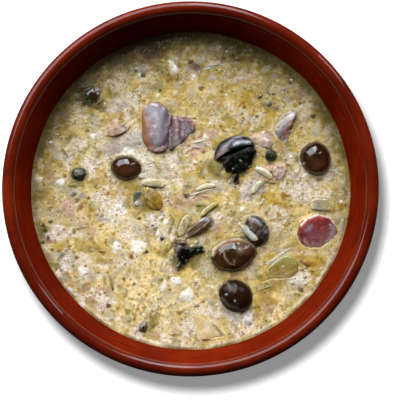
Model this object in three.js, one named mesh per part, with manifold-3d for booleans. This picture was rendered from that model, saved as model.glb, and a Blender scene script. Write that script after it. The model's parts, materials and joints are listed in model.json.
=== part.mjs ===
// A glazed clay bowl of solyanka: a cream-coloured, finely chopped broth with olives,
// mushrooms, smoked meat, a slice of sausage, pickled cucumber, potato, onion and capers afloat.
// Millimetres, +Z up. The origin is on the table, in the middle of the bowl's foot ring.
// The bowl is seen from above with +X to the right and +Y at the top.

import * as THREE from 'three';
import { mergeVertices } from 'three/addons/utils/BufferGeometryUtils.js';
import Module from 'manifold-3d';

const wasm = await Module();
wasm.setup();

// ---------------------------------------------------------------- driving dimensions

const RIM_RADIUS = 90; // outside of the lip
const BOWL_HEIGHT = 64;
const LIP_WIDTH = 6.2; // the rolled lip, from its outside to its inside
const STEP_REACH = 7.6; // the step under the lip, inside: how far in from the rim
const STEP_DROP = 2.7; // and how far below the middle of the lip
const WALL = 5.5; // wall thickness at the shoulder
const FOOT_RADIUS = 47;
const FOOT_WIDTH = 5;
const FOOT_LEAN = 1.5; // how much the inside of the foot ring leans
const FOOT_FLARE = 1.8; // how far the bowl stands out over its foot
const FOOT_HEIGHT = 4.4;
const FOOT_RECESS = 3.2; // how far the underside stands off the table
const FLOOR_THICKNESS = 5.6;
const FLOOR_RADIUS = 30; // the flat of the floor, inside
const BELLY_RADIUS = 70; // the belly is pulled out to here just over the foot
const SHOULDER_RADIUS = 73.5; // and the inside of the wall leans through here half way up
const SHOULDER_HEIGHT = 34;
const BOWL_SIDES = 52;
const WALL_STEPS = 7;
const BELLY_STEPS = 6;
const LIP_STEPS = 4; // steps of each half of the rolled lip

const SOUP_BELOW_RIM = 18;
const SOUP_LEVEL = BOWL_HEIGHT - SOUP_BELOW_RIM;
const SOUP_CLIMB = 0.5; // how far the soup climbs the wall
const SOUP_CLIMB_WIDTH = 1.6;
const GAP = 0.3; // clearance between two pieces that touch

const BITS = 42; // chopped bits that break the surface of the broth
const BIT_SEED = 7;
const BIT_LENGTH = 2.2; // the shortest, and by how much the longest is longer
const BIT_SPREAD = 3;

const LIP_RADIUS = LIP_WIDTH / 2;
const LIP_CENTRE = RIM_RADIUS - LIP_RADIUS;
const LIP_LEVEL = BOWL_HEIGHT - LIP_RADIUS;
const FLOOR_LEVEL = FOOT_RECESS + FLOOR_THICKNESS;
const degrees = Math.PI / 180;

// ---------------------------------------------------------------- solids and welding

// Drops what is not position, so that vertices at one place become one vertex.
function welded(geometry) {
  geometry.deleteAttribute('normal');
  geometry.deleteAttribute('uv');
  return mergeVertices(geometry, 1e-4);
}

// Moves every vertex of a closed geometry by a rule (x, y, z) -> [x, y, z].
function reshaped(geometry, rule) {
  const body = welded(geometry);
  const points = body.attributes.position;
  for (let i = 0; i < points.count; i += 1) {
    points.setXYZ(i, ...rule(points.getX(i), points.getY(i), points.getZ(i)));
  }
  body.computeVertexNormals();
  return body;
}

function toSolid(geometry) {
  return new wasm.Manifold(new wasm.Mesh({
    numProp: 3,
    vertProperties: new Float32Array(geometry.attributes.position.array),
    triVerts: new Uint32Array(geometry.index.array),
  }));
}

function toGeometry(solid) {
  const mesh = solid.getMesh();
  const geometry = new THREE.BufferGeometry();
  geometry.setAttribute('position', new THREE.BufferAttribute(mesh.vertProperties, 3));
  geometry.setIndex(new THREE.BufferAttribute(mesh.triVerts, 1));
  geometry.computeVertexNormals();
  return geometry;
}

// Only the largest body of a cut: what a cut leaves loose is too small to keep.
function largest(solid) {
  return solid.decompose().reduce((a, b) => (a.volume() > b.volume() ? a : b));
}

function fused(...geometries) {
  return toGeometry(geometries.map(toSolid).reduce((a, b) => a.add(b)));
}

// The same body, fatter by `margin` along its own normals.
function grown(geometry, margin) {
  const fat = geometry.clone();
  fat.computeVertexNormals();
  const points = fat.attributes.position;
  const normals = fat.attributes.normal;
  for (let i = 0; i < points.count; i += 1) {
    points.setXYZ(
      i,
      points.getX(i) + margin * normals.getX(i),
      points.getY(i) + margin * normals.getY(i),
      points.getZ(i) + margin * normals.getZ(i),
    );
  }
  return fat;
}

// A small seeded generator of numbers from 0 to 1.
function seeded(seed) {
  let state = seed;
  return () => {
    state = (state * 16807) % 2147483647;
    return state / 2147483647;
  };
}

// ---------------------------------------------------------------- the bowl

// The inside of the wall, from the step under the lip down to the floor, moved inwards by
// `inset`. The curve is nearly straight and flares where the soup stands, then turns in.
function innerWall(inset) {
  const curve = new THREE.CubicBezierCurve(
    new THREE.Vector2(RIM_RADIUS - STEP_REACH, LIP_LEVEL - STEP_DROP),
    new THREE.Vector2(SHOULDER_RADIUS + 2.5, SHOULDER_HEIGHT + 8),
    new THREE.Vector2(SHOULDER_RADIUS - 1.5, FLOOR_LEVEL + 1),
    new THREE.Vector2(FLOOR_RADIUS, FLOOR_LEVEL + 0.4),
  );
  return curve.getPoints(WALL_STEPS).map((point, i) => {
    const along = curve.getTangent(i / WALL_STEPS);
    return new THREE.Vector2(point.x + along.y * inset, point.y - along.x * inset);
  });
}

// How far from the middle the soup meets the wall at a level, a hair clear of it.
function wettedRadius(level) {
  const points = innerWall(GAP);
  const i = points.findIndex((point) => point.y <= level);
  const share = (level - points[i].y) / (points[i - 1].y - points[i].y);
  return points[i].x + share * (points[i - 1].x - points[i].x);
}

function bowlProfile() {
  const neck = new THREE.Vector2(RIM_RADIUS - 3.6, LIP_LEVEL - 4.4);
  const footEdge = 1.4;
  const outline = new THREE.Path();
  outline.moveTo(0, FOOT_RECESS);
  outline.lineTo(FOOT_RADIUS - FOOT_WIDTH - FOOT_LEAN, FOOT_RECESS);
  outline.lineTo(FOOT_RADIUS - FOOT_WIDTH, 0);
  outline.lineTo(FOOT_RADIUS, 0);
  outline.lineTo(FOOT_RADIUS + footEdge, footEdge);
  outline.lineTo(FOOT_RADIUS + FOOT_FLARE, FOOT_HEIGHT);
  const belly = new THREE.CubicBezierCurve(
    outline.currentPoint.clone(),
    new THREE.Vector2(BELLY_RADIUS, FOOT_HEIGHT + 0.6),
    new THREE.Vector2(SHOULDER_RADIUS + WALL, SHOULDER_HEIGHT),
    neck,
  );
  belly.getPoints(BELLY_STEPS).slice(1).forEach((point) => outline.lineTo(point.x, point.y));
  outline.absarc(LIP_CENTRE, LIP_LEVEL, LIP_RADIUS, -50 * degrees, 190 * degrees, false);
  const points = outline.getPoints(LIP_STEPS);
  points.push(new THREE.Vector2(RIM_RADIUS - STEP_REACH + 0.6, LIP_LEVEL - STEP_DROP + 1.1));
  points.push(...innerWall(0));
  points.push(new THREE.Vector2(0, FLOOR_LEVEL));
  return points;
}

function bowlBody() {
  return welded(new THREE.LatheGeometry(bowlProfile(), BOWL_SIDES)
    .rotateX(90 * degrees));
}

// ---------------------------------------------------------------- forms of the food

// An egg-shaped body along X, pinched by `taper` towards +X.
function pebble({ length, width, height, taper = 0, sides = 8, rings = 6 }) {
  const ball = new THREE.SphereGeometry(1, sides, rings).rotateZ(-90 * degrees);
  return reshaped(ball, (x, y, z) => [
    x * length / 2,
    y * (width / 2) * (1 - taper * x),
    z * (height / 2) * (1 - taper * x),
  ]);
}

// The edge of a cut piece seen from above: straight sides at a distance and a direction from
// its middle, blended into round corners. Returns the radius at an angle.
function cutEdge(sides, sharpness = 9) {
  return (angle) => sides.reduce((sum, [distance, direction]) => (
    sum + Math.max(0, Math.cos(angle - direction * degrees) / distance) ** sharpness
  ), 0) ** (-1 / sharpness);
}

// A slice: an outline, a thickness with a rounded edge, and a height rule that bends it.
function slice({ edge, thickness, height = () => 0, around = 14, rings = 6 }) {
  const ball = new THREE.SphereGeometry(1, around, rings).rotateX(90 * degrees);
  return reshaped(ball, (x, y, z) => {
    const angle = Math.atan2(y, x);
    const share = Math.min(1, Math.hypot(x, y) ** 0.75);
    const fullness = Math.max(0, 1 - share ** 8) ** 0.4;
    const px = edge(angle) * share * Math.cos(angle);
    const py = edge(angle) * share * Math.sin(angle);
    return [px, py, height(px, py) + Math.sign(z) * fullness * thickness / 2];
  });
}

// A strip bent in plan by `bend` degrees, its ends narrowed, its height a rule of the place
// along it (-1 to 1) and across it (-1 to 1).
function strip({ length, width, thickness, bend = 1, rise = () => 0, steps = 5 }) {
  const radius = length / (bend * degrees);
  return reshaped(new THREE.BoxGeometry(2, 2, 2, steps, 1, 1), (x, y, z) => {
    const turn = x * bend * degrees / 2;
    const reach = radius + y * (width / 2) * (1 - 0.45 * x ** 4);
    return [
      reach * Math.sin(turn),
      reach * Math.cos(turn) - radius,
      rise(x, y) + z * thickness / 2,
    ];
  });
}

// A mushroom cap, turned about its own axis: skin above, hollowed gill side below.
function cap({ radius, height, hollow, sides = 12 }) {
  const outline = new THREE.Path();
  outline.moveTo(0, hollow);
  outline.quadraticCurveTo(radius * 0.7, hollow, radius * 0.93, 0);
  outline.bezierCurveTo(radius * 1.06, 0, radius * 1.0, height * 0.98, 0, height);
  return welded(new THREE.LatheGeometry(outline.getPoints(4), sides)
    .rotateX(90 * degrees));
}

// ---------------------------------------------------------------- the food, piece by piece

const SKIN = { roughness: 0.15, metalness: 0 };
const WET = { roughness: 0.3, metalness: 0 };

// place: [x, y] on the bowl, and z from the soup's surface to the piece's middle.
function piece(name, geometry, place, turn, color, finish = WET, tilt = [0, 0]) {
  const material = new THREE.MeshStandardMaterial({ color, ...finish });
  const mesh = new THREE.Mesh(geometry, material);
  mesh.name = name;
  mesh.position.set(place[0], place[1], SOUP_LEVEL + place[2]);
  mesh.rotation.set(tilt[0] * degrees, tilt[1] * degrees, turn * degrees, 'ZXY');
  return mesh;
}

const OLIVE_BROWN = 0x3a1c10;
const OLIVE_BLACK = 0x160c0a;

function olives() {
  const fine = { sides: 12, rings: 8 };
  return [
    piece('olive_1', pebble({ length: 14.8, width: 13.2, height: 13, taper: 0.05, ...fine }),
      [-49.1, 46.5, -4.8], 140, OLIVE_BLACK, SKIN),
    piece('olive_2', pebble({ length: 16.6, width: 13.4, height: 12.8, taper: 0.06, ...fine }),
      [-31.5, 10.5, -2.0], -8, OLIVE_BROWN, SKIN),
    piece('olive_3', pebble({ length: 18.0, width: 16.2, height: 15.2, taper: 0.05, ...fine }),
      [61.4, 15.0, -2.0], -70, OLIVE_BROWN, SKIN),
    piece('olive_4', pebble({ length: 24.4, width: 17.4, height: 15.6, taper: 0.07, ...fine }),
      [21.1, -31.7, -2.2], 12, OLIVE_BROWN, SKIN),
    piece('olive_5', pebble({ length: 18.2, width: 16.2, height: 14.4, taper: -0.05, ...fine }),
      [21.9, -51.9, -1.8], -38, OLIVE_BLACK, SKIN),
    piece('olive_bit', pebble({ length: 6.2, width: 4.4, height: 3.6, taper: 0.3 }),
      [-22.8, -67.0, -0.6], 72, OLIVE_BLACK, SKIN),
  ];
}

const MUSHROOM_SKIN = 0x3a3038;
const MUSHROOM_FLESH = 0x7a5548;
const GILL_BLACK = 0x0d0b0a;

// The largest mushroom lies on its side, half sunk: the skin of its hood bulges away from
// the diner, its dark gills spread towards the diner and its stem trails off to the left.
function tippedMushroom() {
  const hood = cap({ radius: 10.8, height: 8.8, hollow: 2.4, sides: 14 })
    .rotateX(-102 * degrees)
    .scale(1, 1, 0.5);
  const gills = slice({
    edge: cutEdge([[6.5, 90], [8.8, 12], [6.8, 306], [7.6, 254], [8.4, 188]]),
    thickness: 4.6,
    around: 12,
  });
  const stem = pebble({ length: 11, width: 3.8, height: 3.2, taper: 0.3 });
  return fused(
    hood,
    gills.translate(0.6, -1.8, 0.2),
    stem.rotateZ(-114 * degrees).translate(-3.8, -10.2, -0.2),
  ).rotateZ(21 * degrees);
}

function mushrooms() {
  return [
    piece('mushroom_1', tippedMushroom(), [22.1, 17.3, 0.2], 0, MUSHROOM_SKIN, SKIN),
    piece('mushroom_2', pebble({ length: 17.6, width: 5.4, height: 5.2, taper: -0.18, sides: 10 }),
      [3.3, -19.0, 0.6], 37, MUSHROOM_FLESH, WET, [0, -9]),
    piece('mushroom_3', slice({
      edge: cutEdge([[4.4, 78], [5.2, 322], [3.4, 186], [9.6, 232]]),
      thickness: 5,
    }), [-4.6, -31.6, -0.9], 0, GILL_BLACK, WET, [6, -8]),
    piece('mushroom_4', cap({ radius: 8.3, height: 5.6, hollow: 1.2 })
      .scale(1, 0.8, 1), [32.2, -20.6, -1.6], -72, MUSHROOM_SKIN, SKIN, [-6, 6]),
    piece('mushroom_5', pebble({ length: 6.4, width: 4.6, height: 4.4 }),
      [3.9, -29.4, -0.2], 12, GILL_BLACK, SKIN),
    piece('mushroom_stem', pebble({ length: 7.2, width: 3.2, height: 3, taper: 0.1 }),
      [-4.9, -25.2, 0.4], -6, 0xb9ab86, WET),
  ];
}

const SMOKED_MEAT = 0x8a6f70;

// One thin slice folded over: a broad domed lobe, and a narrower pleated one beside it.
function foldedMeat() {
  const dome = (x, y) => 1.6 * Math.exp(-((x + 1.5) ** 2) / 34 - (y ** 2) / 110);
  const pleats = (x) => 0.5 + 0.7 * Math.cos((x - 0.6) * 56 * degrees);
  const broad = slice({
    edge: cutEdge([[8.0, 180], [13.3, 108], [9.8, 39], [6.7, -10], [11.8, 284], [10.2, 220]]),
    thickness: 3.4,
    height: dome,
    around: 16,
    rings: 7,
  });
  const pleated = slice({
    edge: cutEdge([[7.5, 83], [7.5, 27], [4.2, -46], [9.4, 270], [6.6, 180]]),
    thickness: 3,
    height: pleats,
    around: 14,
    rings: 7,
  });
  return fused(broad.translate(-5.2, 0, 0), pleated.translate(6.2, -1.4, -0.3));
}

function meats() {
  return [
    piece('meat_1', foldedMeat(), [-10.9, 29.8, -0.2], 0, SMOKED_MEAT, WET),
    piece('meat_2', slice({
      edge: cutEdge([[6.2, 128], [9.5, 69], [3.4, -18], [6.9, 234], [5.6, 208], [6.0, 159]]),
      thickness: 3,
      height: (x, y) => 0.5 * Math.cos((x - y) * 30 * degrees),
    }), [46.4, 30.2, -0.1], 0, SMOKED_MEAT, WET, [0, -6]),
    piece('sausage_slice', slice({
      edge: (angle) => 9.9 + 0.25 * Math.cos(2 * angle) - 0.15 * Math.cos(3 * angle + 1),
      thickness: 4.4,
      height: (x, y) => 0.3 - (x * x + y * y) / 260,
      around: 18,
    }), [62.2, -21.8, -0.9], 0, 0x8f3038, WET, [9, 4]),
    piece('ham_1', strip({
      length: 14.5, width: 4.6, thickness: 1.6, bend: -70, steps: 7,
      rise: (x, y) => 0.6 * Math.cos(3.4 * x) + 0.5 * y * y,
    }), [-35.6, 29.0, 0.3], 22, 0xc98a68),
    piece('ham_2', slice({
      edge: cutEdge([[3.6, 90], [3.5, 0], [4.4, 300], [3.4, 240], [3.2, 180]]),
      thickness: 3.6,
      around: 12,
    }), [43.2, 8.7, -0.4], -28, 0xd49c84, WET, [0, 5]),
    piece('ham_3', strip({
      length: 11.5, width: 5.2, thickness: 1.8, bend: 30, steps: 6,
      rise: (x, y) => 0.4 * Math.sin(4 * x) + 0.3 * y,
    }), [35.0, 23.4, 0.1], -14, 0xc9a9a0),
  ];
}

const PICKLE_GREEN = 0x9a8a34;
const PICKLE_DARK = 0x6f5c22;

function pickles() {
  return [
    piece('pickle_1', slice({
      edge: cutEdge([[5.4, 138], [5.4, 120], [8.4, 67], [9.2, 4], [7.2, -46], [5.1, 270], [8.2, 207]], 7),
      thickness: 3.2,
      height: (x, y) => 0.07 * y,
      around: 16,
    }), [43.6, -39.4, -0.4], 0, PICKLE_GREEN, WET, [5, 0]),
    piece('pickle_2', slice({
      edge: cutEdge([[5.8, 70], [4.1, 25], [5.7, -26], [4.4, 251], [3.5, 204], [5.4, 164]]),
      thickness: 3.6,
      height: (x, y) => 0.35 * Math.cos((y + 1) * 24 * degrees),
    }), [-18.4, -5.6, -0.5], 0, PICKLE_DARK, WET, [4, 4]),
    piece('pickle_3', slice({
      edge: cutEdge([[2.0, 95], [4.2, 20], [2.2, 275], [4.0, 190]]),
      thickness: 2.4,
      around: 12,
    }), [35.0, -47.2, -0.4], 16, PICKLE_GREEN),
    piece('pickle_4', strip({
      length: 11, width: 2.8, thickness: 1.1, bend: 24,
      rise: (x, y) => 0.5 + 0.5 * x - 0.3 * y,
    }), [8.6, -9.4, 0.1], 38, 0x8b8a2e),
    piece('pickle_5', pebble({ length: 6.6, width: 4.4, height: 2.6 }),
      [-11.4, -28.4, -0.2], 78, 0xb8973a),
  ];
}

const ONION = 0xc8c0a4;

function onions() {
  return [
    piece('onion_1', slice({
      edge: cutEdge([[3.6, 90], [5.4, 30], [5.6, -12], [2.4, 268], [5.6, 192], [5.4, 150]]),
      thickness: 1.8,
      height: (x) => 0.5 - x * x / 50,
    }), [64.0, -8.0, -0.1], -3, 0x9c987c),
    piece('onion_2', strip({
      length: 10, width: 3.6, thickness: 1.0, bend: 50,
      rise: (x, y) => 0.9 - 0.5 * y * y - 0.5 * x * x,
    }), [36.2, 8.3, 0.2], -34, ONION),
    piece('onion_3', strip({
      length: 8, width: 3.6, thickness: 1.0, bend: 20,
      rise: (x, y) => 0.5 - 0.4 * y * y,
    }), [32.4, 1.1, 0.1], 52, ONION),
    piece('onion_4', strip({
      length: 10.6, width: 4.2, thickness: 1.1, bend: 20,
      rise: (x, y) => 0.4 - 0.5 * y * y,
    }), [28.6, -21.4, 3.1], -44, ONION, SKIN, [-16, 0]),
    piece('onion_5', strip({
      length: 11.6, width: 4.4, thickness: 1.2, bend: 24,
      rise: (x, y) => 0.4 * x - 0.3 * y * y,
    }), [-3.5, -17.6, 0.3], 64, 0xaaa27c),
    piece('onion_6', strip({
      length: 11.4, width: 4.2, thickness: 1.3, bend: 44,
      rise: (x, y) => 0.5 + 0.35 * Math.cos(4 * x) - 0.3 * y * y,
    }), [-18.2, 3.2, 0.3], -6, 0xd0c8b0),
    piece('onion_7', strip({
      length: 10, width: 3.2, thickness: 1.0, bend: 40,
      rise: (x, y) => 0.5 - 0.4 * y * y,
    }), [7.2, 1.3, 0.1], 14, ONION),
  ];
}

function smallGreens() {
  return [
    piece('caper_1', pebble({ length: 8.8, width: 7.4, height: 6.6, taper: 0.1 }),
      [-54.6, 7.6, -1.0], 10, 0x23301c, SKIN),
    piece('caper_2', pebble({ length: 6.6, width: 6.2, height: 6, taper: 0.08 }),
      [39.4, 16.9, -0.5], 60, 0x2c3a20, SKIN),
    piece('potato_1', slice({
      edge: cutEdge([[3.3, 56], [4.6, -80], [8.7, 188]], 11),
      thickness: 4.2,
      around: 16,
    }), [10.2, -68.6, -1.5], 0, 0xdcc680),
  ];
}

// ---------------------------------------------------------------- fitting and the broth

// The body of a piece where it lies in the bowl.
function inPlace(mesh, margin = 0) {
  mesh.updateMatrixWorld(true);
  const geometry = margin > 0 ? grown(mesh.geometry, margin) : mesh.geometry.clone();
  return toSolid(geometry.applyMatrix4(mesh.matrixWorld));
}

function boxOf(mesh) {
  return new THREE.Box3().setFromObject(mesh, true).expandByScalar(GAP);
}

// Pieces that rest against each other: each is cut clear of the ones listed before it.
function settle(meshes) {
  meshes.forEach((mesh, i) => {
    const touching = meshes.slice(0, i).filter((other) => boxOf(other).intersectsBox(boxOf(mesh)));
    if (touching.length === 0) return;
    const cut = touching.reduce((solid, other) => solid.subtract(inPlace(other, GAP)), inPlace(mesh));
    const back = mesh.matrixWorld.clone().invert();
    mesh.geometry = toGeometry(largest(cut)).applyMatrix4(back);
  });
  return meshes;
}

// Places for the chopped bits: spread by a seeded draw, clear of the wall and of each other,
// and clear of every floating piece.
function bitPlaces(meshes) {
  const draw = seeded(BIT_SEED);
  const taken = meshes.map((mesh) => {
    const box = boxOf(mesh);
    const middle = box.getCenter(new THREE.Vector3());
    const size = box.getSize(new THREE.Vector3());
    return [middle.x, middle.y, Math.hypot(size.x, size.y) / 2];
  });
  const reach = wettedRadius(SOUP_LEVEL) - 3;
  const places = [];
  while (places.length < BITS) {
    const radius = reach * Math.sqrt(draw());
    const angle = 360 * degrees * draw();
    const size = BIT_LENGTH + BIT_SPREAD * draw() ** 2;
    const spot = [radius * Math.cos(angle), radius * Math.sin(angle), size / 2];
    const clear = [...taken, ...places]
      .every(([x, y, r]) => Math.hypot(spot[0] - x, spot[1] - y) > r + spot[2] + 0.6);
    if (clear) places.push(spot);
  }
  return places;
}

function choppedBit([x, y, radius], draw) {
  const bit = pebble({
    length: 2 * radius,
    width: radius * (1 + 0.7 * draw()),
    height: 0.8 + 0.8 * draw(),
    sides: 6,
    rings: 3,
  });
  return bit.rotateZ(360 * degrees * draw()).translate(x, y, SOUP_LEVEL);
}

// White curd lumps where they float: [x, y, diameter].
const CURDS = [
  [-25.6, -28.0, 5.0], [-35.9, -28.0, 3.4], [-52.2, -40.4, 3.6],
  [-13.2, -46.8, 4.6], [-7.0, -45.2, 3.2], [-1.4, -51.7, 3.8],
];

function curd([x, y, size]) {
  const lump = pebble({ length: size, width: size * 0.86, height: 2, sides: 7, rings: 4 });
  return lump.translate(x, y, SOUP_LEVEL);
}

// The broth fills the bowl up to its level, a hair clear of the wall, climbs the wall a
// little at its edge, carries the bits and is cut round everything that floats in it.
function broth(meshes) {
  const edge = wettedRadius(SOUP_LEVEL + SOUP_CLIMB);
  const profile = [
    new THREE.Vector2(0, FLOOR_LEVEL + GAP),
    ...innerWall(GAP).filter((point) => point.y < SOUP_LEVEL - 1).reverse(),
    new THREE.Vector2(edge, SOUP_LEVEL + SOUP_CLIMB),
    new THREE.Vector2(edge - SOUP_CLIMB_WIDTH, SOUP_LEVEL),
    new THREE.Vector2(0, SOUP_LEVEL),
  ];
  const body = toSolid(welded(new THREE.LatheGeometry(profile, BOWL_SIDES).rotateX(90 * degrees)));
  const draw = seeded(BIT_SEED + 1);
  const bits = [...bitPlaces(meshes).map((spot) => choppedBit(spot, draw)), ...CURDS.map(curd)];
  const strewn = bits.map(toSolid).reduce((solid, bit) => solid.add(bit), body);
  return toGeometry(largest(meshes.reduce(
    (solid, mesh) => solid.subtract(inPlace(mesh, GAP)),
    strewn,
  )));
}

// ---------------------------------------------------------------- the whole dish

const CLAY_GLAZE = new THREE.MeshStandardMaterial({ color: 0x8a2a12, roughness: 0.2, metalness: 0 });
const BROTH = new THREE.MeshStandardMaterial({ color: 0xd8c592, roughness: 0.45, metalness: 0 });

const bowl = new THREE.Mesh(bowlBody(), CLAY_GLAZE);
bowl.name = 'bowl';

const floating = settle([
  ...onions(),
  ...olives(),
  ...smallGreens(),
  ...meats(),
  ...mushrooms(),
  ...pickles(),
]);

const soup = new THREE.Mesh(broth(floating), BROTH);
soup.name = 'soup';

const dish = new THREE.Group();
dish.add(bowl, soup, ...floating);

export default dish;
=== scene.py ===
# %% [markdown]
# # A clay bowl of solyanka
# The bowl, the soup and every larger piece of food already exist as plain solids, the frame.
# This lesson dresses them: each step makes one piece or one finish with numpy and a few shader
# nodes. The first code cell loads the frame. The soup is looked down on, as it is served.

# %% Load the frame
import json
import math

import bpy
import numpy as np
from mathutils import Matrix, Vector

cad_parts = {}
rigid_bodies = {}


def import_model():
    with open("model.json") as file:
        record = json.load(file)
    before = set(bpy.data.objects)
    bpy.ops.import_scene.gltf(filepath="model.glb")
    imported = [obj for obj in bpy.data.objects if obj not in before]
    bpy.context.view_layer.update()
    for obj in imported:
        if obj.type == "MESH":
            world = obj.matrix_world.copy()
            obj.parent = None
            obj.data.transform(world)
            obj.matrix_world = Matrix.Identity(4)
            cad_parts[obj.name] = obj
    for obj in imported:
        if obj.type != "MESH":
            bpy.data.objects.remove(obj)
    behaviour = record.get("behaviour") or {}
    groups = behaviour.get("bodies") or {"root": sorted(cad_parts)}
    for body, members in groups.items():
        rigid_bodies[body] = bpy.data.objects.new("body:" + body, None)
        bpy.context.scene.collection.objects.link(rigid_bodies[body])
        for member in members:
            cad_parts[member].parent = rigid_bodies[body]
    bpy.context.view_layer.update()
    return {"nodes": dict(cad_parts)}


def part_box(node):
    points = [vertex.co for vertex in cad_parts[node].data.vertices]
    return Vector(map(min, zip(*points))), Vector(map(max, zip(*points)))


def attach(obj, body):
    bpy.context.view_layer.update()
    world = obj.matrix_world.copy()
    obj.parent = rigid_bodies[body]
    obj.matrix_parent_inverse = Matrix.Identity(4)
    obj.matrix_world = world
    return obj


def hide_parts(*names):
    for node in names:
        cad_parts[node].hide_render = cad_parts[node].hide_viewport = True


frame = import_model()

MM = 0.001
print("nodes in the frame:", len(frame["nodes"]))

# %% [markdown]
# ## Sizes
# All forms below are worked out in millimetres and turned to metres when a mesh is made. The
# bowl's size is read from the frame. The soup's surface is the level from which the height of
# each floating piece is counted.

# %% Sizes read from the frame
RIM_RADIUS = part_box("bowl")[1][0] / MM
BOWL_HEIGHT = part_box("bowl")[1][2] / MM
SOUP_LEVEL = 46.0
LIP_WIDTH = 6.2
LIP_RADIUS = LIP_WIDTH / 2
LIP_CENTRE = RIM_RADIUS - LIP_RADIUS
LIP_LEVEL = BOWL_HEIGHT - LIP_RADIUS
TURN = 2 * math.pi
print("rim radius", round(RIM_RADIUS, 2), "height", round(BOWL_HEIGHT, 2))

# %% [markdown]
# ## Meshes from arrays
# Every piece is a grid of points that is a function of two parameters, computed as whole
# arrays. One helper turns such a grid into a closed mesh: the first parameter runs from pole to
# pole, the second goes round and joins up with itself.

# %% Closing a grid
def faces_between_rings(rings, around):
    """Quads between neighbouring rings of a grid, whose second parameter wraps round."""
    i, j = np.meshgrid(np.arange(rings - 1), np.arange(around), indexing="ij")
    here, beside = i * around + j, i * around + (j + 1) % around
    return np.stack([here, beside, beside + around, here + around], -1).reshape(-1, 4)


def capped(grid):
    """Points and faces of a grid (rings, around, 3) whose first and last ring shrink to poles."""
    rings, around = grid.shape[:2]
    points = np.vstack([grid.reshape(-1, 3), grid[0].mean(axis=0), grid[-1].mean(axis=0)])
    j = np.arange(around)
    k = (j + 1) % around
    pole, last_ring = np.full(around, rings * around), (rings - 1) * around
    top = np.stack([pole, k, j], -1)
    bottom = np.stack([pole + 1, last_ring + j, last_ring + k], -1)
    return points, [faces_between_rings(rings, around), top, bottom]


print("faces of a closed grid of 3 by 4:", sum(len(f) for f in capped(np.zeros((3, 4, 3)))[1]))

# %% A mesh that rides on the bowl's body
def make_piece(name, points, faces, material, slot, node, layers=None):
    """A smooth mesh object from points in mm and lists of faces. node is the solid that it
    takes the place of. layers are values or colours per point that its material reads."""
    mesh = bpy.data.meshes.new(name)
    corners = np.concatenate([f.reshape(-1) for f in faces]).astype(np.int32)
    counts = np.concatenate([np.full(len(f), f.shape[1]) for f in faces]).astype(np.int32)
    mesh.vertices.add(len(points))
    mesh.vertices.foreach_set("co", (np.asarray(points) * MM).astype(np.float32).ravel())
    mesh.loops.add(len(corners))
    mesh.loops.foreach_set("vertex_index", corners)
    mesh.polygons.add(len(counts))
    mesh.polygons.foreach_set("loop_start", (np.cumsum(counts) - counts).astype(np.int32))
    mesh.polygons.foreach_set("loop_total", counts)
    mesh.polygons.foreach_set("use_smooth", np.ones(len(counts), dtype=bool))
    for layer, values in (layers or {}).items():
        if values.ndim == 1:
            made = mesh.attributes.new(layer, "FLOAT", "POINT")
            made.data.foreach_set("value", values.astype(np.float32))
        else:
            made = mesh.attributes.new(layer, "FLOAT_COLOR", "POINT")
            colours = np.column_stack([values, np.ones(len(values))])
            made.data.foreach_set("color", colours.astype(np.float32).ravel())
    mesh.update(calc_edges=True)
    mesh.validate()
    piece = bpy.data.objects.new(name, mesh)
    bpy.context.scene.collection.objects.link(piece)
    mesh.materials.append(material)
    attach(piece, "root")
    if node:
        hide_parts(node)
    print(name, len(points), "points")
    return piece


def outward(points, faces):
    """The faces turned round if the volume that they enclose is negative. It is the sum of
    a . (b x c) over the triangles from each face's first corner a."""
    volume = 0.0
    for f in faces:
        for k in range(1, f.shape[1] - 1):
            a, b, c = points[f[:, 0]], points[f[:, k]], points[f[:, k + 1]]
            volume += np.einsum("ij,ij->", a, np.cross(b, c))
    return faces if volume > 0 else [f[:, ::-1] for f in faces]

# %% [markdown]
# ## Uneven by rule
# Real food is uneven. A sum of plane waves, each with a direction and phase drawn from a fixed
# seed, gives smooth relief of any chosen size, the same on every run.

# %% Smooth random relief
PLANE_WAVES = 24


def waves(x, y, size, seed):
    """Relief of about -1 to 1: the sum of cosines of plane waves about as long as size."""
    draw = np.random.default_rng(seed)
    total = np.zeros_like(x)
    for _ in range(PLANE_WAVES):
        angle, phase = draw.uniform(0, TURN, 2)
        length = size * draw.uniform(0.7, 1.5)
        total += np.cos((x * math.cos(angle) + y * math.sin(angle)) * TURN / length + phase)
    return total / math.sqrt(PLANE_WAVES)


def smooth_step(value, low, high):
    """0 below low, 1 above high and an S curve between them."""
    share = np.clip((value - low) / (high - low), 0, 1)
    return share * share * (3 - 2 * share)


print("the S curve at a quarter:", smooth_step(0.25, 0, 1))

# %% Laying one colour over another
def blend(base, colour, share):
    """A colour laid over a base colour, as much as share says at each point."""
    share = share[..., None]
    return np.asarray(base) * (1 - share) + np.asarray(colour) * share

# %% [markdown]
# ## Shader nodes in few words
# A finish is a Principled surface with noise, cells and ramps in front of its sockets. This
# small class adds such nodes. Sizes are in millimetres on the object, so that a pattern has its
# true scale.

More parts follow.
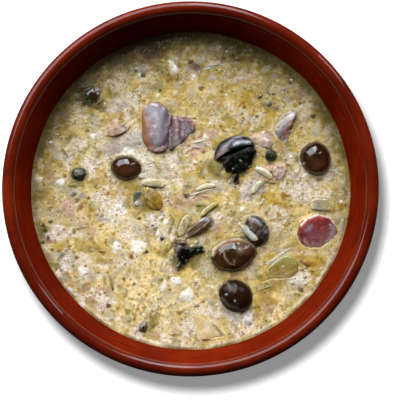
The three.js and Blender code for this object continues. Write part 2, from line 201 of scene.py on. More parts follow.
# %% A finish and its nodes
class Finish:
    """A material with a Principled surface, and short ways to add nodes before it. Each way
    gives back the new node's output, and takes plain values or the outputs of other nodes."""

    def __init__(self, name, **sockets):
        self.material = bpy.data.materials.new(name)
        self.material.use_nodes = True
        self.tree = self.material.node_tree
        self.surface = self.tree.nodes["Principled BSDF"]
        self.place = self.tree.nodes.new("ShaderNodeTexCoord").outputs["Object"]
        for socket, value in sockets.items():
            self.set(socket, value)

    def set(self, socket, value):
        """Links or sets the surface's socket, whose name is written with underscores."""
        self.feed(self.surface.inputs[socket.replace("_", " ")], value)

    def feed(self, target, value):
        """Links an output to a socket, or sets the socket to a plain value."""
        if isinstance(value, bpy.types.NodeSocket):
            self.tree.links.new(value, target)
        elif target.type == "RGBA":
            target.default_value = (*value, 1.0)
        else:
            target.default_value = value

    def add(self, kind, output, inputs, **settings):
        """Any node, by its kind, with its inputs and settings by name or number."""
        made = self.tree.nodes.new(kind)
        for key, value in settings.items():
            setattr(made, key, value)
        for key, value in inputs.items():
            self.feed(made.inputs[key], value)
        return made.outputs[output]

    def noise(self, size, detail, roughness=0.6, place=None):
        """Cloudy noise, 0 to 1, whose clouds are about size mm wide."""
        return self.add("ShaderNodeTexNoise", "Fac", {
            "Vector": place or self.place, "Scale": 1 / (size * MM), "Detail": detail,
            "Roughness": roughness})

    def cells(self, size, output="Distance"):
        """Random points about size mm apart: how far the nearest is, or its own number."""
        return self.add("ShaderNodeTexVoronoi", output, {
            "Vector": self.place, "Scale": 1 / (size * MM)})

    def range(self, value, low, high, to_low=0.0, to_high=1.0):
        """An S curve from to_low at low to to_high at high."""
        return self.add("ShaderNodeMapRange", "Result", {
            "Value": value, "From Min": low, "From Max": high, "To Min": to_low,
            "To Max": to_high}, interpolation_type="SMOOTHSTEP")

    def mix(self, factor, first, second, blend="MIX"):
        """The second colour over the first, as much as factor says."""
        return self.add("ShaderNodeMix", 2, {"Factor": factor, 6: first, 7: second},
                        data_type="RGBA", blend_type=blend)

    def sum(self, first, second, operation="ADD"):
        """Two numbers added, or joined by another operation."""
        return self.add("ShaderNodeMath", 0, {0: first, 1: second}, operation=operation)

    def layer(self, name, output="Color"):
        """A colour or value that the mesh holds for each of its points."""
        return self.add("ShaderNodeAttribute", output, {}, attribute_name=name)

    def bump(self, height, depth, strength):
        """A normal tilted as if height pushed the surface out by depth mm."""
        return self.add("ShaderNodeBump", "Normal", {
            "Height": height, "Distance": depth * MM, "Strength": strength})

# %% [markdown]
# ## Camera, light and floor
# The bowl is photographed from almost straight above, with a wide window beyond its far side.
# Its panes shine again in the olives and along the lip. The pale walls beside it spread the
# light, so shadows are soft. A weak even sky fills them. The floor is plain and nearly white
# and has a small high light of its own, so that the bowl's shadow on it is short and soft.

# %% Camera
PHOTO_WIDTH, PHOTO_HEIGHT = 400, 405
RIM_MIDDLE = (190.4, 186.6)
MM_PER_PIXEL = 0.4770
CAMERA_ELEVATION = math.radians(85.5)
CAMERA_DISTANCE = 560.0
SENSOR_WIDTH = 36.0


def photo_camera():
    """Looks down at the point of the rim's plane that is in the middle of the picture."""
    aim_x = (PHOTO_WIDTH / 2 - RIM_MIDDLE[0]) * MM_PER_PIXEL
    aim_y = -(PHOTO_HEIGHT / 2 - RIM_MIDDLE[1]) * MM_PER_PIXEL / math.sin(CAMERA_ELEVATION)
    data = bpy.data.cameras.new("photo_camera")
    data.sensor_fit = "HORIZONTAL"
    data.sensor_width = SENSOR_WIDTH
    data.lens = SENSOR_WIDTH * CAMERA_DISTANCE / (MM_PER_PIXEL * PHOTO_WIDTH)
    data.clip_start = 0.01
    camera = bpy.data.objects.new("photo_camera", data)
    camera.location = (aim_x * MM,
                       (aim_y - CAMERA_DISTANCE * math.cos(CAMERA_ELEVATION)) * MM,
                       (LIP_LEVEL + CAMERA_DISTANCE * math.sin(CAMERA_ELEVATION)) * MM)
    camera.rotation_euler = (math.pi / 2 - CAMERA_ELEVATION, 0, 0)
    bpy.context.scene.collection.objects.link(camera)
    bpy.context.scene.camera = camera


photo_camera()
print("camera over the rim, mm:", CAMERA_DISTANCE)

# %% Light
LIGHT_DISTANCE = 1.0
DAYLIGHT = 5.0
WALL_LIGHT = 2.0

# middle's azimuth and elevation in degrees, width and height in m, radiance
PANES = [(116.0, 38.0, 1.22, 0.80, DAYLIGHT),
         (45.0, 33.0, 0.15, 0.50, DAYLIGHT),
         (82.0, 30.0, 0.26, 0.46, DAYLIGHT),
         (82.0, 51.0, 0.26, 0.20, DAYLIGHT)]
ROOM_WALLS = [(154.0, 20.0, 0.84, 0.58, WALL_LIGHT),
              (58.0, 20.0, 0.90, 0.58, WALL_LIGHT)]


def aimed(position, target):
    """The turn that points a light's -Z from a position to a target."""
    x, y, z = np.array(target) - np.array(position)
    return math.atan2(math.hypot(x, y), -z), 0, math.atan2(y, x) - math.pi / 2


def add_light(name, kind, position, target, **settings):
    """A light at a position that shines at a target."""
    data = bpy.data.lights.new(name, kind)
    for key, value in settings.items():
        setattr(data, key, value)
    light = bpy.data.objects.new(name, data)
    light.location = position
    light.rotation_euler = aimed(position, target)
    bpy.context.scene.collection.objects.link(light)
    return light


def panel(name, azimuth, elevation, width, height, radiance):
    """An area that faces the soup from an azimuth and an elevation. It gives pi times its area
    times its radiance in watts."""
    turn, rise = math.radians(azimuth), math.radians(elevation)
    away = np.array([math.cos(turn) * math.cos(rise), math.sin(turn) * math.cos(rise),
                     math.sin(rise)])
    soup = np.array([0, 0, SOUP_LEVEL * MM])
    return add_light(name, "AREA", tuple(soup + away * LIGHT_DISTANCE), tuple(soup),
                     shape="RECTANGLE", size=width, size_y=height,
                     energy=math.pi * width * height * radiance, color=(0.96, 0.98, 1.03))


def window():
    """The panes, and the pale walls beside them, which light the soup but don't shine in it."""
    panes = [panel("window_pane", *place) for place in PANES]
    walls = [panel("pale_room_wall", *place) for place in ROOM_WALLS]
    for wall in walls:
        wall.visible_glossy = False
    return panes + walls

# %% Sky and floor
FLOOR_REACH = 1.5


def sky(strength):
    """Even white light from all round."""
    world = bpy.data.worlds.new("even_sky")
    world.use_nodes = True
    background = world.node_tree.nodes["Background"]
    background.inputs["Color"].default_value = (1.0, 1.0, 1.0, 1.0)
    background.inputs["Strength"].default_value = strength
    bpy.context.scene.world = world


def floor():
    """A plain pale floor that throws no colour back on the bowl, with its own high light."""
    corners = [(-1, -1), (1, -1), (1, 1), (-1, 1)]
    mesh = bpy.data.meshes.new("floor")
    mesh.from_pydata([(x * FLOOR_REACH, y * FLOOR_REACH, 0) for x, y in corners], [],
                     [(0, 1, 2, 3)])
    plane = bpy.data.objects.new("floor", mesh)
    bpy.context.scene.collection.objects.link(plane)
    pale = Finish("pale_floor", Roughness=0.9, Emission_Color=(1.0, 1.0, 1.0),
                  Emission_Strength=0.25)
    pale.set("Base_Color", pale.mix(pale.noise(40, 2), (0.90, 0.90, 0.90), (0.92, 0.92, 0.92)))
    mesh.materials.append(pale.material)
    plane.visible_diffuse = False
    plane.visible_glossy = False
    return plane


def link_lights(lights, target, state):
    """Lets lights shine on one object alone (INCLUDE) or on all but that one (EXCLUDE)."""
    group = bpy.data.collections.new(lights[0].name + "_linking")
    group.objects.link(target)
    for light in lights:
        light.light_linking.receiver_collection = group
    group.collection_objects[0].light_linking.link_state = state

# %% The stage
FLOOR_LIGHT = (-0.029, 0.018, 0.56)
scene = bpy.context.scene
scene.view_settings.view_transform = "Standard"
sky(0.04)
ground = floor()
link_lights(window(), ground, "EXCLUDE")
high = add_light("floor_light", "AREA", FLOOR_LIGHT, (*FLOOR_LIGHT[:2], 0), shape="DISK",
                 size=0.07, energy=4.2)
link_lights([high], ground, "INCLUDE")
for lamp in scene.objects:
    if lamp.type == "LIGHT":
        lamp.visible_camera = False
print("window panes:", len(PANES), "pale walls:", len(ROOM_WALLS))

# %% [markdown]
# ## The glazed bowl
# A potter turns such a bowl on a wheel, rolls its lip outwards and dips it in a glossy
# red-brown glaze. So it is a profile turned about its axis: underside, foot ring, belly, lip, a
# small step and the inside of the wall, with faint ribs that the fingers left.

# %% The bowl's profile
STEP_REACH = 7.6
STEP_DROP = 2.7
WALL = 5.5
FOOT_RADIUS = 47.0
FOOT_WIDTH = 5.0
FOOT_HEIGHT = 4.4
FOOT_RECESS = 3.2
FLOOR_LEVEL = FOOT_RECESS + 5.6
FLOOR_RADIUS = 30.0
BELLY_RADIUS = 70.0
SHOULDER_RADIUS = 73.5
SHOULDER_HEIGHT = 34.0
WALL_STEPS, BELLY_STEPS, LIP_STEPS = 90, 70, 44


def bezier(corners, steps):
    """Points of a cubic curve: its four corners weighted by the shares of t and 1 - t."""
    t = np.linspace(0, 1, steps)[:, None]
    a, b, c, d = (np.array(corner) for corner in corners)
    return (1 - t) ** 3 * a + 3 * t * (1 - t) ** 2 * b + 3 * t * t * (1 - t) * c + t ** 3 * d


def inner_wall():
    """The inside of the wall from the step under the lip down to the floor."""
    return bezier([
        (RIM_RADIUS - STEP_REACH, LIP_LEVEL - STEP_DROP),
        (SHOULDER_RADIUS + 2.5, SHOULDER_HEIGHT + 8),
        (SHOULDER_RADIUS - 1.5, FLOOR_LEVEL + 1),
        (FLOOR_RADIUS, FLOOR_LEVEL + 0.4)], WALL_STEPS)


def wall_radius(level):
    """How far from the middle the inside of the wall stands at a level."""
    wall = inner_wall()[::-1]
    return np.interp(level, wall[:, 1], wall[:, 0])


def bowl_profile():
    """Radius and level along the outline, from the middle of the underside round to the middle
    of the floor: straight foot, curved belly, lip as an arc, step, curved wall."""
    neck = (RIM_RADIUS - 3.6, LIP_LEVEL - 4.4)
    foot = [(0.5, FOOT_RECESS), (20, FOOT_RECESS), (FOOT_RADIUS - FOOT_WIDTH - 1.5, FOOT_RECESS),
            (FOOT_RADIUS - FOOT_WIDTH - 0.3, 0.3), (FOOT_RADIUS - FOOT_WIDTH, 0),
            (FOOT_RADIUS - 0.3, 0), (FOOT_RADIUS + 0.4, 0.5), (FOOT_RADIUS + 1.3, 1.5)]
    belly = bezier([(FOOT_RADIUS + 1.8, FOOT_HEIGHT), (BELLY_RADIUS, FOOT_HEIGHT + 0.6),
                    (SHOULDER_RADIUS + WALL, SHOULDER_HEIGHT), neck], BELLY_STEPS)
    angle = np.radians(np.linspace(-50, 190, LIP_STEPS))
    lip = np.column_stack([LIP_CENTRE + LIP_RADIUS * np.cos(angle),
                           LIP_LEVEL + LIP_RADIUS * np.sin(angle)])
    step = bezier([lip[-1], (RIM_RADIUS - 6.0, LIP_LEVEL - 1.5),
                   (RIM_RADIUS - 7.3, LIP_LEVEL - 1.0), inner_wall()[0]], 8)
    middle = [(20, FLOOR_LEVEL + 0.2), (0.5, FLOOR_LEVEL)]
    return np.vstack([foot, belly, lip, step[1:-1], inner_wall(), middle])


print("points in the bowl's outline:", len(bowl_profile()))

# %% Turning the outline
BOWL_AROUND = 256
WALL_START = len(bowl_profile()) - len(inner_wall()) - 10


def turned_bowl():
    """The profile turned round the axis. Fine ribs follow the wheel's slow spiral: a cosine of
    the level that shifts with the angle. The radius wavers a little, as hand work does."""
    profile = bowl_profile()
    angle = np.linspace(0, TURN, BOWL_AROUND, endpoint=False)
    radius = np.repeat(profile[:, :1], BOWL_AROUND, axis=1)
    level = np.repeat(profile[:, 1:], BOWL_AROUND, axis=1)
    on_wall = smooth_step(level, 8, 20) * smooth_step(LIP_LEVEL - 3 - level, 0, 4)
    ribs = 0.06 * np.cos(level * TURN / 4.3 + angle)
    ribs += 0.035 * np.cos(level * TURN / 1.9 + 2 * angle)
    waver = 0.05 * np.cos(3 * angle + level / 9) - 0.08
    radius = radius + on_wall * (ribs + waver)
    grid = np.stack([radius * np.cos(angle), radius * np.sin(angle), level], -1)
    return capped(grid)

# %% [markdown]
# ## The glaze
# The glaze is thick and nearly clear over red clay: deep brown where it pools, brick red where
# it runs thin. The lip is wiped smooth, so it is glossy. Inside, steam and broth have dulled
# the wall, so it hardly mirrors the soup. So the lip and the wall take two finishes made by
# one recipe.

# %% Red-brown glaze
BAND_BROWN = (0.09, 0.006, 0.0012)
PIT_BROWN = (0.035, 0.004, 0.002)


def glaze_finish(name, thick, thin, **gloss):
    """thick and thin are the glaze's colours where it pools and where it runs thin."""
    glaze = Finish(name, **gloss)
    turned = glaze.add("ShaderNodeMapping", "Vector", {
        "Vector": glaze.place, "Scale": (1.0, 1.0, 9.0)})
    cloud = glaze.noise(26, 4, 0.6)
    bands = glaze.noise(14, 3, 0.55, place=turned)
    colour = glaze.mix(glaze.range(cloud, 0.35, 0.7), thick, thin)
    colour = glaze.mix(glaze.range(bands, 0.5, 0.72), colour, BAND_BROWN)
    pits = glaze.cells(2.6)
    colour = glaze.mix(glaze.range(pits, 0.02, 0.07, 0.7, 0.0), colour, PIT_BROWN)
    glaze.set("Base_Color", colour)
    relief = glaze.sum(glaze.noise(1.6, 3), glaze.range(pits, 0.0, 0.09))
    glaze.set("Normal", glaze.bump(relief, 0.05, 0.55))
    return glaze.material


lip_glaze = glaze_finish("clay_glaze", (0.098, 0.006, 0.0005), (0.17, 0.0135, 0.0012),
                         Roughness=0.32, IOR=1.4, Specular_IOR_Level=0.08, Coat_Weight=0.62,
                         Coat_Roughness=0.05)
wall_glaze = glaze_finish("dulled_glaze", (0.128, 0.0065, 0.0003), (0.20, 0.0135, 0.0008),
                          Roughness=0.45, IOR=1.4, Specular_IOR_Level=0.02)

# %% The bowl's mesh
points, faces = turned_bowl()
bowl = make_piece("glazed_bowl", points, outward(points, faces), lip_glaze, "clay_glaze", "bowl")
bowl.data.materials.append(wall_glaze)
ring_of_face = np.concatenate([np.arange(len(faces[0])) // BOWL_AROUND, [0] * BOWL_AROUND,
                               [WALL_START] * BOWL_AROUND])
bowl.data.polygons.foreach_set("material_index", (ring_of_face >= WALL_START).astype(np.int32))

# %% [markdown]
# ## Forms of the food
# Four forms make nearly every piece: an egg, a slab cut to an outline, a strip and a mushroom
# cap. Each is a grid in millimetres about its own middle. They are the frame's forms made
# finer, and then roughened a little along their own normals.

# %% Egg and slab
def egg(length, width, height, taper, rings=44, around=60):
    """Points at angle t from pole to pole along X and a round it: cos t along X, sin t times
    cos a and sin a across, pinched towards +X by the share taper."""
    t = np.linspace(0, math.pi, rings + 2)[1:-1, None]
    a = np.linspace(0, TURN, around, endpoint=False)[None]
    x = np.cos(t) + 0 * a
    squeeze = 1 - taper * x
    return np.stack([x * length / 2, np.sin(t) * np.cos(a) * squeeze * width / 2,
                     np.sin(t) * np.sin(a) * squeeze * height / 2], -1)


def cut_edge(sides, sharpness=9):
    """The radius at an angle of an outline with straight sides at [distance, direction], whose
    corners are rounded: the sum of each side's cosine share to a high power, rooted again."""
    def radius(angle):
        total = 0.0
        for distance, direction in sides:
            total = total + np.maximum(
                0, np.cos(angle - math.radians(direction)) / distance) ** sharpness
        return total ** (-1 / sharpness)
    return radius


def slab(edge, thickness, height=None, rings=34, around=110):
    """From the middle of the top out to the edge and back to the middle of the bottom. The
    faces are nearly flat and the edge is round: fullness (1 - share^8)^0.4."""
    s = np.linspace(0, 2, rings + 2)[1:-1, None]
    a = np.linspace(0, TURN, around, endpoint=False)[None]
    share = np.sin((1 - np.abs(1 - s)) * math.pi / 2) ** 0.8 + 0 * a
    side = np.where(s < 1, 1.0, -1.0)
    fullness = np.clip(1 - share ** 8, 0, 1) ** 0.4
    x = edge(a) * share * np.cos(a)
    y = edge(a) * share * np.sin(a)
    lift = height(x, y) if height else 0.0
    return np.stack([x, y, lift + side * fullness * thickness / 2], -1)


print("points of a small slab:", slab(cut_edge([(5, 0), (5, 120), (5, 240)]), 1).shape)

# %% Strip and cap
def strip(length, width, thickness, bend, rise, rings=40, around=28):
    """A flat section carried along an arc of bend degrees, its ends narrowed and rounded. rise
    lifts it, as a function of the shares of its half length and half width."""
    x = np.cos(np.linspace(0, math.pi, rings + 2)[1:-1, None])
    a = np.linspace(0, TURN, around, endpoint=False)[None]
    end = np.clip(1 - x ** 10, 0, 1) ** 0.35
    y = np.sign(np.cos(a)) * np.abs(np.cos(a)) ** 0.8 * end
    z = np.sign(np.sin(a)) * np.abs(np.sin(a)) ** 0.8 * end
    radius = length / math.radians(bend)
    turn = x * math.radians(bend) / 2
    reach = radius + y * width / 2 * (1 - 0.45 * x ** 4)
    return np.stack([reach * np.sin(turn), reach * np.cos(turn) - radius,
                     rise(x + 0 * a, y) + z * thickness / 2], -1)


CAP_STEPS = 23
CAP_AROUND = 120


def cap(radius, height, hollow, gills):
    """A profile turned about Z: gill side from the middle out, round rim, domed skin. The
    gills are a cosine of the angle on the hollow side."""
    under = bezier([(0.2, hollow), (radius * 0.45, hollow), (radius * 0.85, hollow * 0.5),
                    (radius * 0.94, 0)], CAP_STEPS)
    skin = bezier([(radius * 0.94, 0), (radius * 1.06, 0), (radius, height * 0.98),
                   (0.2, height)], CAP_STEPS)[1:]
    a = np.linspace(0, TURN, CAP_AROUND, endpoint=False)[None]
    profile = np.vstack([under, skin])
    r, z = profile[:, :1] + 0 * a, profile[:, 1:] + 0 * a
    below = (np.arange(len(profile)) < len(under) - 2)[:, None]
    z = z + below * 0.28 * np.cos(gills * a) * smooth_step(r, 1, 4)
    return np.stack([r * np.cos(a), r * np.sin(a), z], -1)

# %% Turning and placing
def rotation(turn, tilt_x=0.0, tilt_y=0.0):
    """Tilts about Y, then X, then turns about Z, in degrees. Arrays give one matrix each."""
    turn, tilt_x, tilt_y = np.broadcast_arrays(*(np.radians(v) for v in (turn, tilt_x, tilt_y)))
    zero, one = np.zeros(turn.shape), np.ones(turn.shape)

    def matrix(*entries):
        return np.stack(entries, -1).reshape(turn.shape + (3, 3))

    (cz, sz), (cx, sx), (cy, sy) = ((np.cos(v), np.sin(v)) for v in (turn, tilt_x, tilt_y))
    return (matrix(cz, -sz, zero, sz, cz, zero, zero, zero, one)
            @ matrix(one, zero, zero, zero, cx, -sx, zero, sx, cx)
            @ matrix(cy, zero, sy, zero, one, zero, -sy, zero, cy))


def laid(grid, place, turn=0.0, tilt=(0.0, 0.0)):
    """A form turned and put in the bowl. place is x, y and the height over the soup."""
    return grid @ rotation(turn, *tilt).T + np.array([place[0], place[1], SOUP_LEVEL + place[2]])

# %% Relief in space
SPACE_WAVES = 20


def relief(grid, size, seed):
    """Smooth random relief in three dimensions, of about -1 to 1: a sum of plane waves again."""
    draw = np.random.default_rng(seed)
    total = np.zeros(grid.shape[:-1])
    for _ in range(SPACE_WAVES):
        direction = draw.normal(size=3)
        direction /= np.linalg.norm(direction)
        length = size * draw.uniform(0.7, 1.4)
        total += np.cos(grid @ direction * TURN / length + draw.uniform(0, TURN))
    return total / math.sqrt(SPACE_WAVES)

# %% Swelling and colouring
def swollen(grid, amount):
    """Moves each point of a grid along its normal, the cross product of the two steps."""
    along = np.gradient(grid, axis=0)
    around = np.roll(grid, -1, axis=1) - np.roll(grid, 1, axis=1)
    normal = np.cross(along, around)
    normal /= np.maximum(np.linalg.norm(normal, axis=-1, keepdims=True), 1e-9)
    outwards = np.sign(np.einsum("ijk,ijk->", normal, grid - grid.mean(axis=(0, 1))))
    return grid + normal * outwards * np.asarray(amount)[..., None]


def rough(grid, inset, *reliefs):
    """Swells a grid by relief, each given as its depth, size and seed, and draws it in by
    inset, so that its box stays inside that of the frame's solid."""
    return swollen(grid, sum(depth * relief(grid, size, seed) for depth, size, seed in reliefs)
                   - inset)


def clouded(grid, base, colour, size, seed, low, high, share=1.0):
    """A colour over a base in clouds: as much as smooth relief has risen from low to high."""
    cloud = smooth_step(relief(grid, size, seed), low, high)
    return blend(base, colour, np.clip(share * cloud, 0, 1))

# %% Reading tables
def read_rows(text):
    """Rows of a table, parted by commas: the words of each, with its numbers as floats."""
    return [[float(word) if word[0] in "-.0123456789" else word for word in row.split()]
            for row in text.split(",")]


def read_tables(text):
    """Tables parted by semicolons, as rows by name. A table's name ends with a colon."""
    named = (table.split(":") for table in text.split(";"))
    return {name.strip(): read_rows(rows) for name, rows in named}

# %% [markdown]
# ## Marks
# What tells one piece from another is drawn on it: veins, smoked edges and films of broth, and
# painted light: wet glints, sheen, the window's reflection and shade in folds. Each mark is a soft
# line through a few places, or a spot where there is only one.

# %% The marks and their colours
# Some of these colours are painted light. glint and the pale blue-white mark are painted
# highlights. mist is a painted sheen on the meat and the mushroom cap, a grey band on the hood and
# grey fat on the sausage. The plum mark is painted shade in the meat's folds. On the mushrooms
# lilac is a painted reflection of the window, and round it on the hood black is that reflection's
# dark edge; elsewhere black is a dark speck. milk is cream and froth, and along the onions' edges
# a white line, partly paler flesh and partly a painted highlight.
MARK_COLOURS = {name: rgb for name, *rgb in read_rows("""
slate .25 .245 .29, mist .44 .42 .44, lilac .34 .31 .38, ice .6 .65 .69, flesh .52 .35 .31,
rose .56 .35 .31, plum .09 .035 .05, crimson .32 .045 .035, scarlet .44 .07 .012, mauve .3 .11 .13,
rust .34 .13 .04, rosewood .2 .06 .025, bark .13 .065 .04, stub .36 .26 .21, beige .34 .25 .17,
straw .44 .35 .18, broth .66 .56 .34, film .42 .43 .34, lime .46 .41 .13, olive .24 .2 .04,
amber .4 .21 .02, green .03 .05 .018, milk .82 .79 .72, glint .92 .92 .92,
black .008 .006 .006""")}

# On olive_2 and olive_3 the rosewood spot below the middle is a painted glow of light through the
# flesh.
# piece: colour, width in mm, share, then x and y of each place in mm
MARKS = read_tables("""
meat_fold: slate 3.4 .9 -14.2 37.7 -14.2 29.8 -15.2 22.9,
mist 1.9 .8 -17.7 38.2 -16.7 33.7 -16.2 28.3 -16.2 23.4, mist 1.4 .6 -20.8 39.2,
flesh 2 .6 -21.1 33.2 -18.7 29.8 -20.1 26.8,
plum 2.0 .9 -10.5 37.2 -9.5 33.2 -10.5 27.6 -13.2 22.1 -16 19,
crimson 1.5 .85 -14.7 43.6 -11.2 41.3 -8.8 37.2, rust 1.5 .95 -23.9 41.6 -23.9 36.7 -23.2 33.2
-22.9 28.8 -21.9 23.4 -19.1 20.1 -17.4 17.3 -12.6 17.3 -6.4 19,
rose .6 .8 -16.7 20.1 -14 19.4 -11.2 22.1, glint .35 .8 -17.4 31, glint .3 .8 -20.1 34.2,
glint .3 .7 -19.1 26.8, milk .8 .8 -22.6 41.2, milk .6 .8 -19.6 42.4 -16.7 41.2,
rose .8 .8 -20.1 20.4 -16.2 18.9 -12.2 19.9, milk .35 .7 -17.7 18.9 -13.7 20.9;
meat_pleats: crimson 1.2 .8 -11.9 43.4 -7.8 40.7 -3.7 36.5 -.2 34.4 2.5 31,
rose .6 .75 -7.8 36.7 -6.4 30.3 -7.8 24.4, rose .5 .65 -4.3 35.7 -3.7 31.8 -4.3 26.3,
slate 1.4 .8 -2.3 32.4 -2 28.3, slate 1 .8 -6.8 26.3 -7.4 22.9,
plum .7 .75 -5.3 33.2 -5.8 26.8 -3.8 24.2, plum .6 .7 -1.4 34.7 -.4 29.8, glint .3 .9 -3 30,
glint .3 .9 -2.3 26.3, rust .7 .7 -3.8 21.9 -.4 25.8 2.1 29.8;
meat_scrap: rust .8 .85 51.5 34.7 47.7 29 45.8 25.8, rust .7 .7 40.8 34 42.1 30.6,
glint .5 .8 50.2 37.4 48.5 35.7, glint .4 .8 44.1 36.5, slate .9 .6 46.1 32.8 43.6 27.8;
mushroom_hood: lilac .9 .95 12.5 14 14.4 17.4 17.4 20.9 21.4 24.4 25.8 26.6 29.8 25.8, black .8 1
18.4 20.4 21.9 23.9 26.8 25.1 30.8 23.9 30.3 21.1 24.3 20.6 18.9 19.4,
ice .8 .9 21.4 21.6 24.3 22.9 28.8 23.1, mist .9 .8 24.3 18.9 28.3 20.6 32.2 20.9,
bark .8 .85 15.4 14 21.4 17.7 26.8 19.2, stub 1.5 .9 13.2 12 14 15.7 16.4 18.4;
mushroom_gills: glint .3 .9 24.3 14, glint .3 .8 20.9 10, bark .8 .7 16.4 13 18.4 15;
mushroom_1_stem: glint .25 .9 20.4 1.1;
mushroom_cap: mist .8 .7 28.3 -14.2 31.7 -15.2 34.2 -17.6, bark 2 .7 30.8 -18.1,
glint .35 .9 36.2 -21.1, black .8 .8 29.8 -12.7 32.7 -13.2;
mushroom_slice: ice .8 .8 4.1 -15.4 8.5 -14.9, bark .5 .7 -1.9 -21.6 3.1 -17.1 7 -15.7,
glint .3 .8 -.4 -19.1;
mushroom_wedge: stub 1.2 .75 -11.7 -38.9 -8.8 -33.4 -5.8 -28;
mushroom_scrap: glint .5 .8 .3 -27, lilac .5 .8 2.6 -25, glint .45 .8 4.1 -27.3;
olive_4: broth .9 1 10.5 -32 11.7 -28.8 16.2 -25.8 22.4 -24.4 27.8 -25.3 31 -27.5,
rosewood 1.3 .7 13.3 -30 18.8 -25.3 26.5 -25.8, beige 2 .8 24.2 -29.5,
straw .4 .85 16.1 -31 16.8 -33.9 18.8 -36.3 21.5 -37 21.1 -34.7, rosewood 2.2 .5 27.3 -30.5;
olive_5: film .8 .25 17.7 -45.5 19.5 -48.7 21.4 -49.7, green 1.2 .8 22.4 -55.7,
glint .35 .9 21.4 -54.4, glint .3 .8 17.2 -51.3, film .6 .3 15.4 -53.2 18.4 -56.7 24.3 -58.6;
olive_1: green 2.2 .7 -52.7 46.6 -49.8 42.6, glint .3 .7 -47.3 48.6,
film .5 .6 -51.7 49.5 -49.8 50.5;
olive_3: rosewood 3 .4 62.9 11.5, glint .35 .8 55.5 12.5;
olive_2: rosewood 3 .35 -31.5 7.6;
caper_1: film .9 .7 -56.2 9 -53.7 7.6, green 2 .7 -53.7 5.1;
caper_2: green 1.6 .6 40.6 15;
sausage_round: scarlet 1.2 .9 54.1 -18.6 57.2 -15.2 61.1 -13.4 64.8 -13.2,
crimson 3.2 .7 59.9 -15.2 62.6 -15.7 64.1 -18.6, mauve 3.5 .55 57.2 -19.1 62.6 -23.1 61.1 -28.5,
black .6 .85 53.7 -22.6, mist 1.8 .55 69.3 -18.6 69.6 -23.1 67.3 -27,
milk .55 .9 54 -17.6 56.7 -14.2 62.6 -12.2 67.8 -13.7 71 -17.6, glint .5 .9 68.6 -24.7,
glint .5 .9 65.7 -27.3, glint .35 .8 68 -17.6, rose .7 .6 55.5 -24.6 57.9 -28.5 62.9 -29.5,
mist .8 .5 56.4 -20.6 58.9 -18.1;
pickle_half: broth 1.2 .7 35.2 -39.4 37.2 -35.4, film 1.2 .9 40.1 -36.1 44.9 -32.7 50.7 -31.7,
lime 4 .8 47.5 -35.4, amber 2.6 .75 42.6 -39.9, amber 1.4 .6 49 -39.4, glint .4 .9 44.9 -37.7,
glint .4 .8 46.4 -41.2;
pickle_wedge: amber 1.8 .85 -16.2 -7.8 -14.7 -3.8, straw 1.6 .7 -20.6 -2.8 -18.2 -.3,
bark .5 .75 -21.6 -4.8 -18.6 -6.8 -15.2 -10.7, glint .3 .8 -19.1 -1.3;
pickle_heart: amber .8 .6 -12.2 -29.5;
pickle_chip: amber 1 .6 34.2 -46.8;
pickle_sliver: film .5 .8 4.1 -12.2 7 -10.2 10 -8.2;
onion_arc: milk .45 .95 32.2 10.8 36.4 9.5 39.6 7.1;
onion_pair: milk .35 .8 29.6 1.5 30.8 3.9 34.5 3.4, milk .35 .7 32.7 -2.3 34.7 1.1;
onion_on_mushroom: ice .5 .9 25.8 -19.1 31.2 -23.8;
onion_half: slate 2.4 .6 60.9 -7.3, lime 2.5 .5 66.3 -7.8, black .35 .6 60.4 -6.3,
black .3 .6 62.9 -8.2;
onion_fan: milk .35 .8 -2.3 -14.2 -.4 -18.6, olive .6 .7 -6.8 -23.6 -5.3 -17.6;
onion_white: milk .5 .9 -26.1 3.6 -22.1 6.6 -17.2 7.1, ice .8 .6 -20.6 4.6;
onion_strip: milk .35 .8 3.1 .1 7.5 1.6 11.5 2.1;
ham_fold: rose 1.2 .7 33.2 26.1, milk .8 .6 37.7 23.9, rust .8 .6 43.1 23.9 44.6 21.9;
ham_curl: rust 1 .7 -39.9 26.3 -35.9 27.8, milk .6 .6 -40.4 30.8 -36.9 31.8,
bark .8 .7 -34 33.7 -32 29.8;
ham_cube: milk .7 .6 41.6 10 44.6 9, rust .8 .6 44.1 4.6;
potato_wedge: bark .9 .8 1.6 -57.6 6.1 -60.6 9.5 -63.6 12.5 -67 14.9 -70.5,
milk .8 .5 6.5 -65.1 9.5 -69""")


print("marks:", sum(len(rows) for rows in MARKS.values()))

# %% Drawing a mark
def soft_line(x, y, places, width):
    """1 on the line through some places and less beside it: a bell curve of the distance."""
    nearest = np.full(x.shape, 1e9)
    places = np.array(places).reshape(-1, 2)
    for (ax, ay), (bx, by) in zip(places, np.vstack([places[1:], places[-1:]])):
        run_x, run_y = bx - ax, by - ay
        share = ((x - ax) * run_x + (y - ay) * run_y) / max(run_x ** 2 + run_y ** 2, 1e-9)
        share = np.clip(share, 0, 1)
        nearest = np.minimum(nearest, np.hypot(x - ax - share * run_x, y - ay - share * run_y))
    return np.exp(-(nearest / width) ** 2)

# %% A grid becomes a piece
AFLOAT = {}
BROTH_FILM = (0.68, 0.57, 0.33)


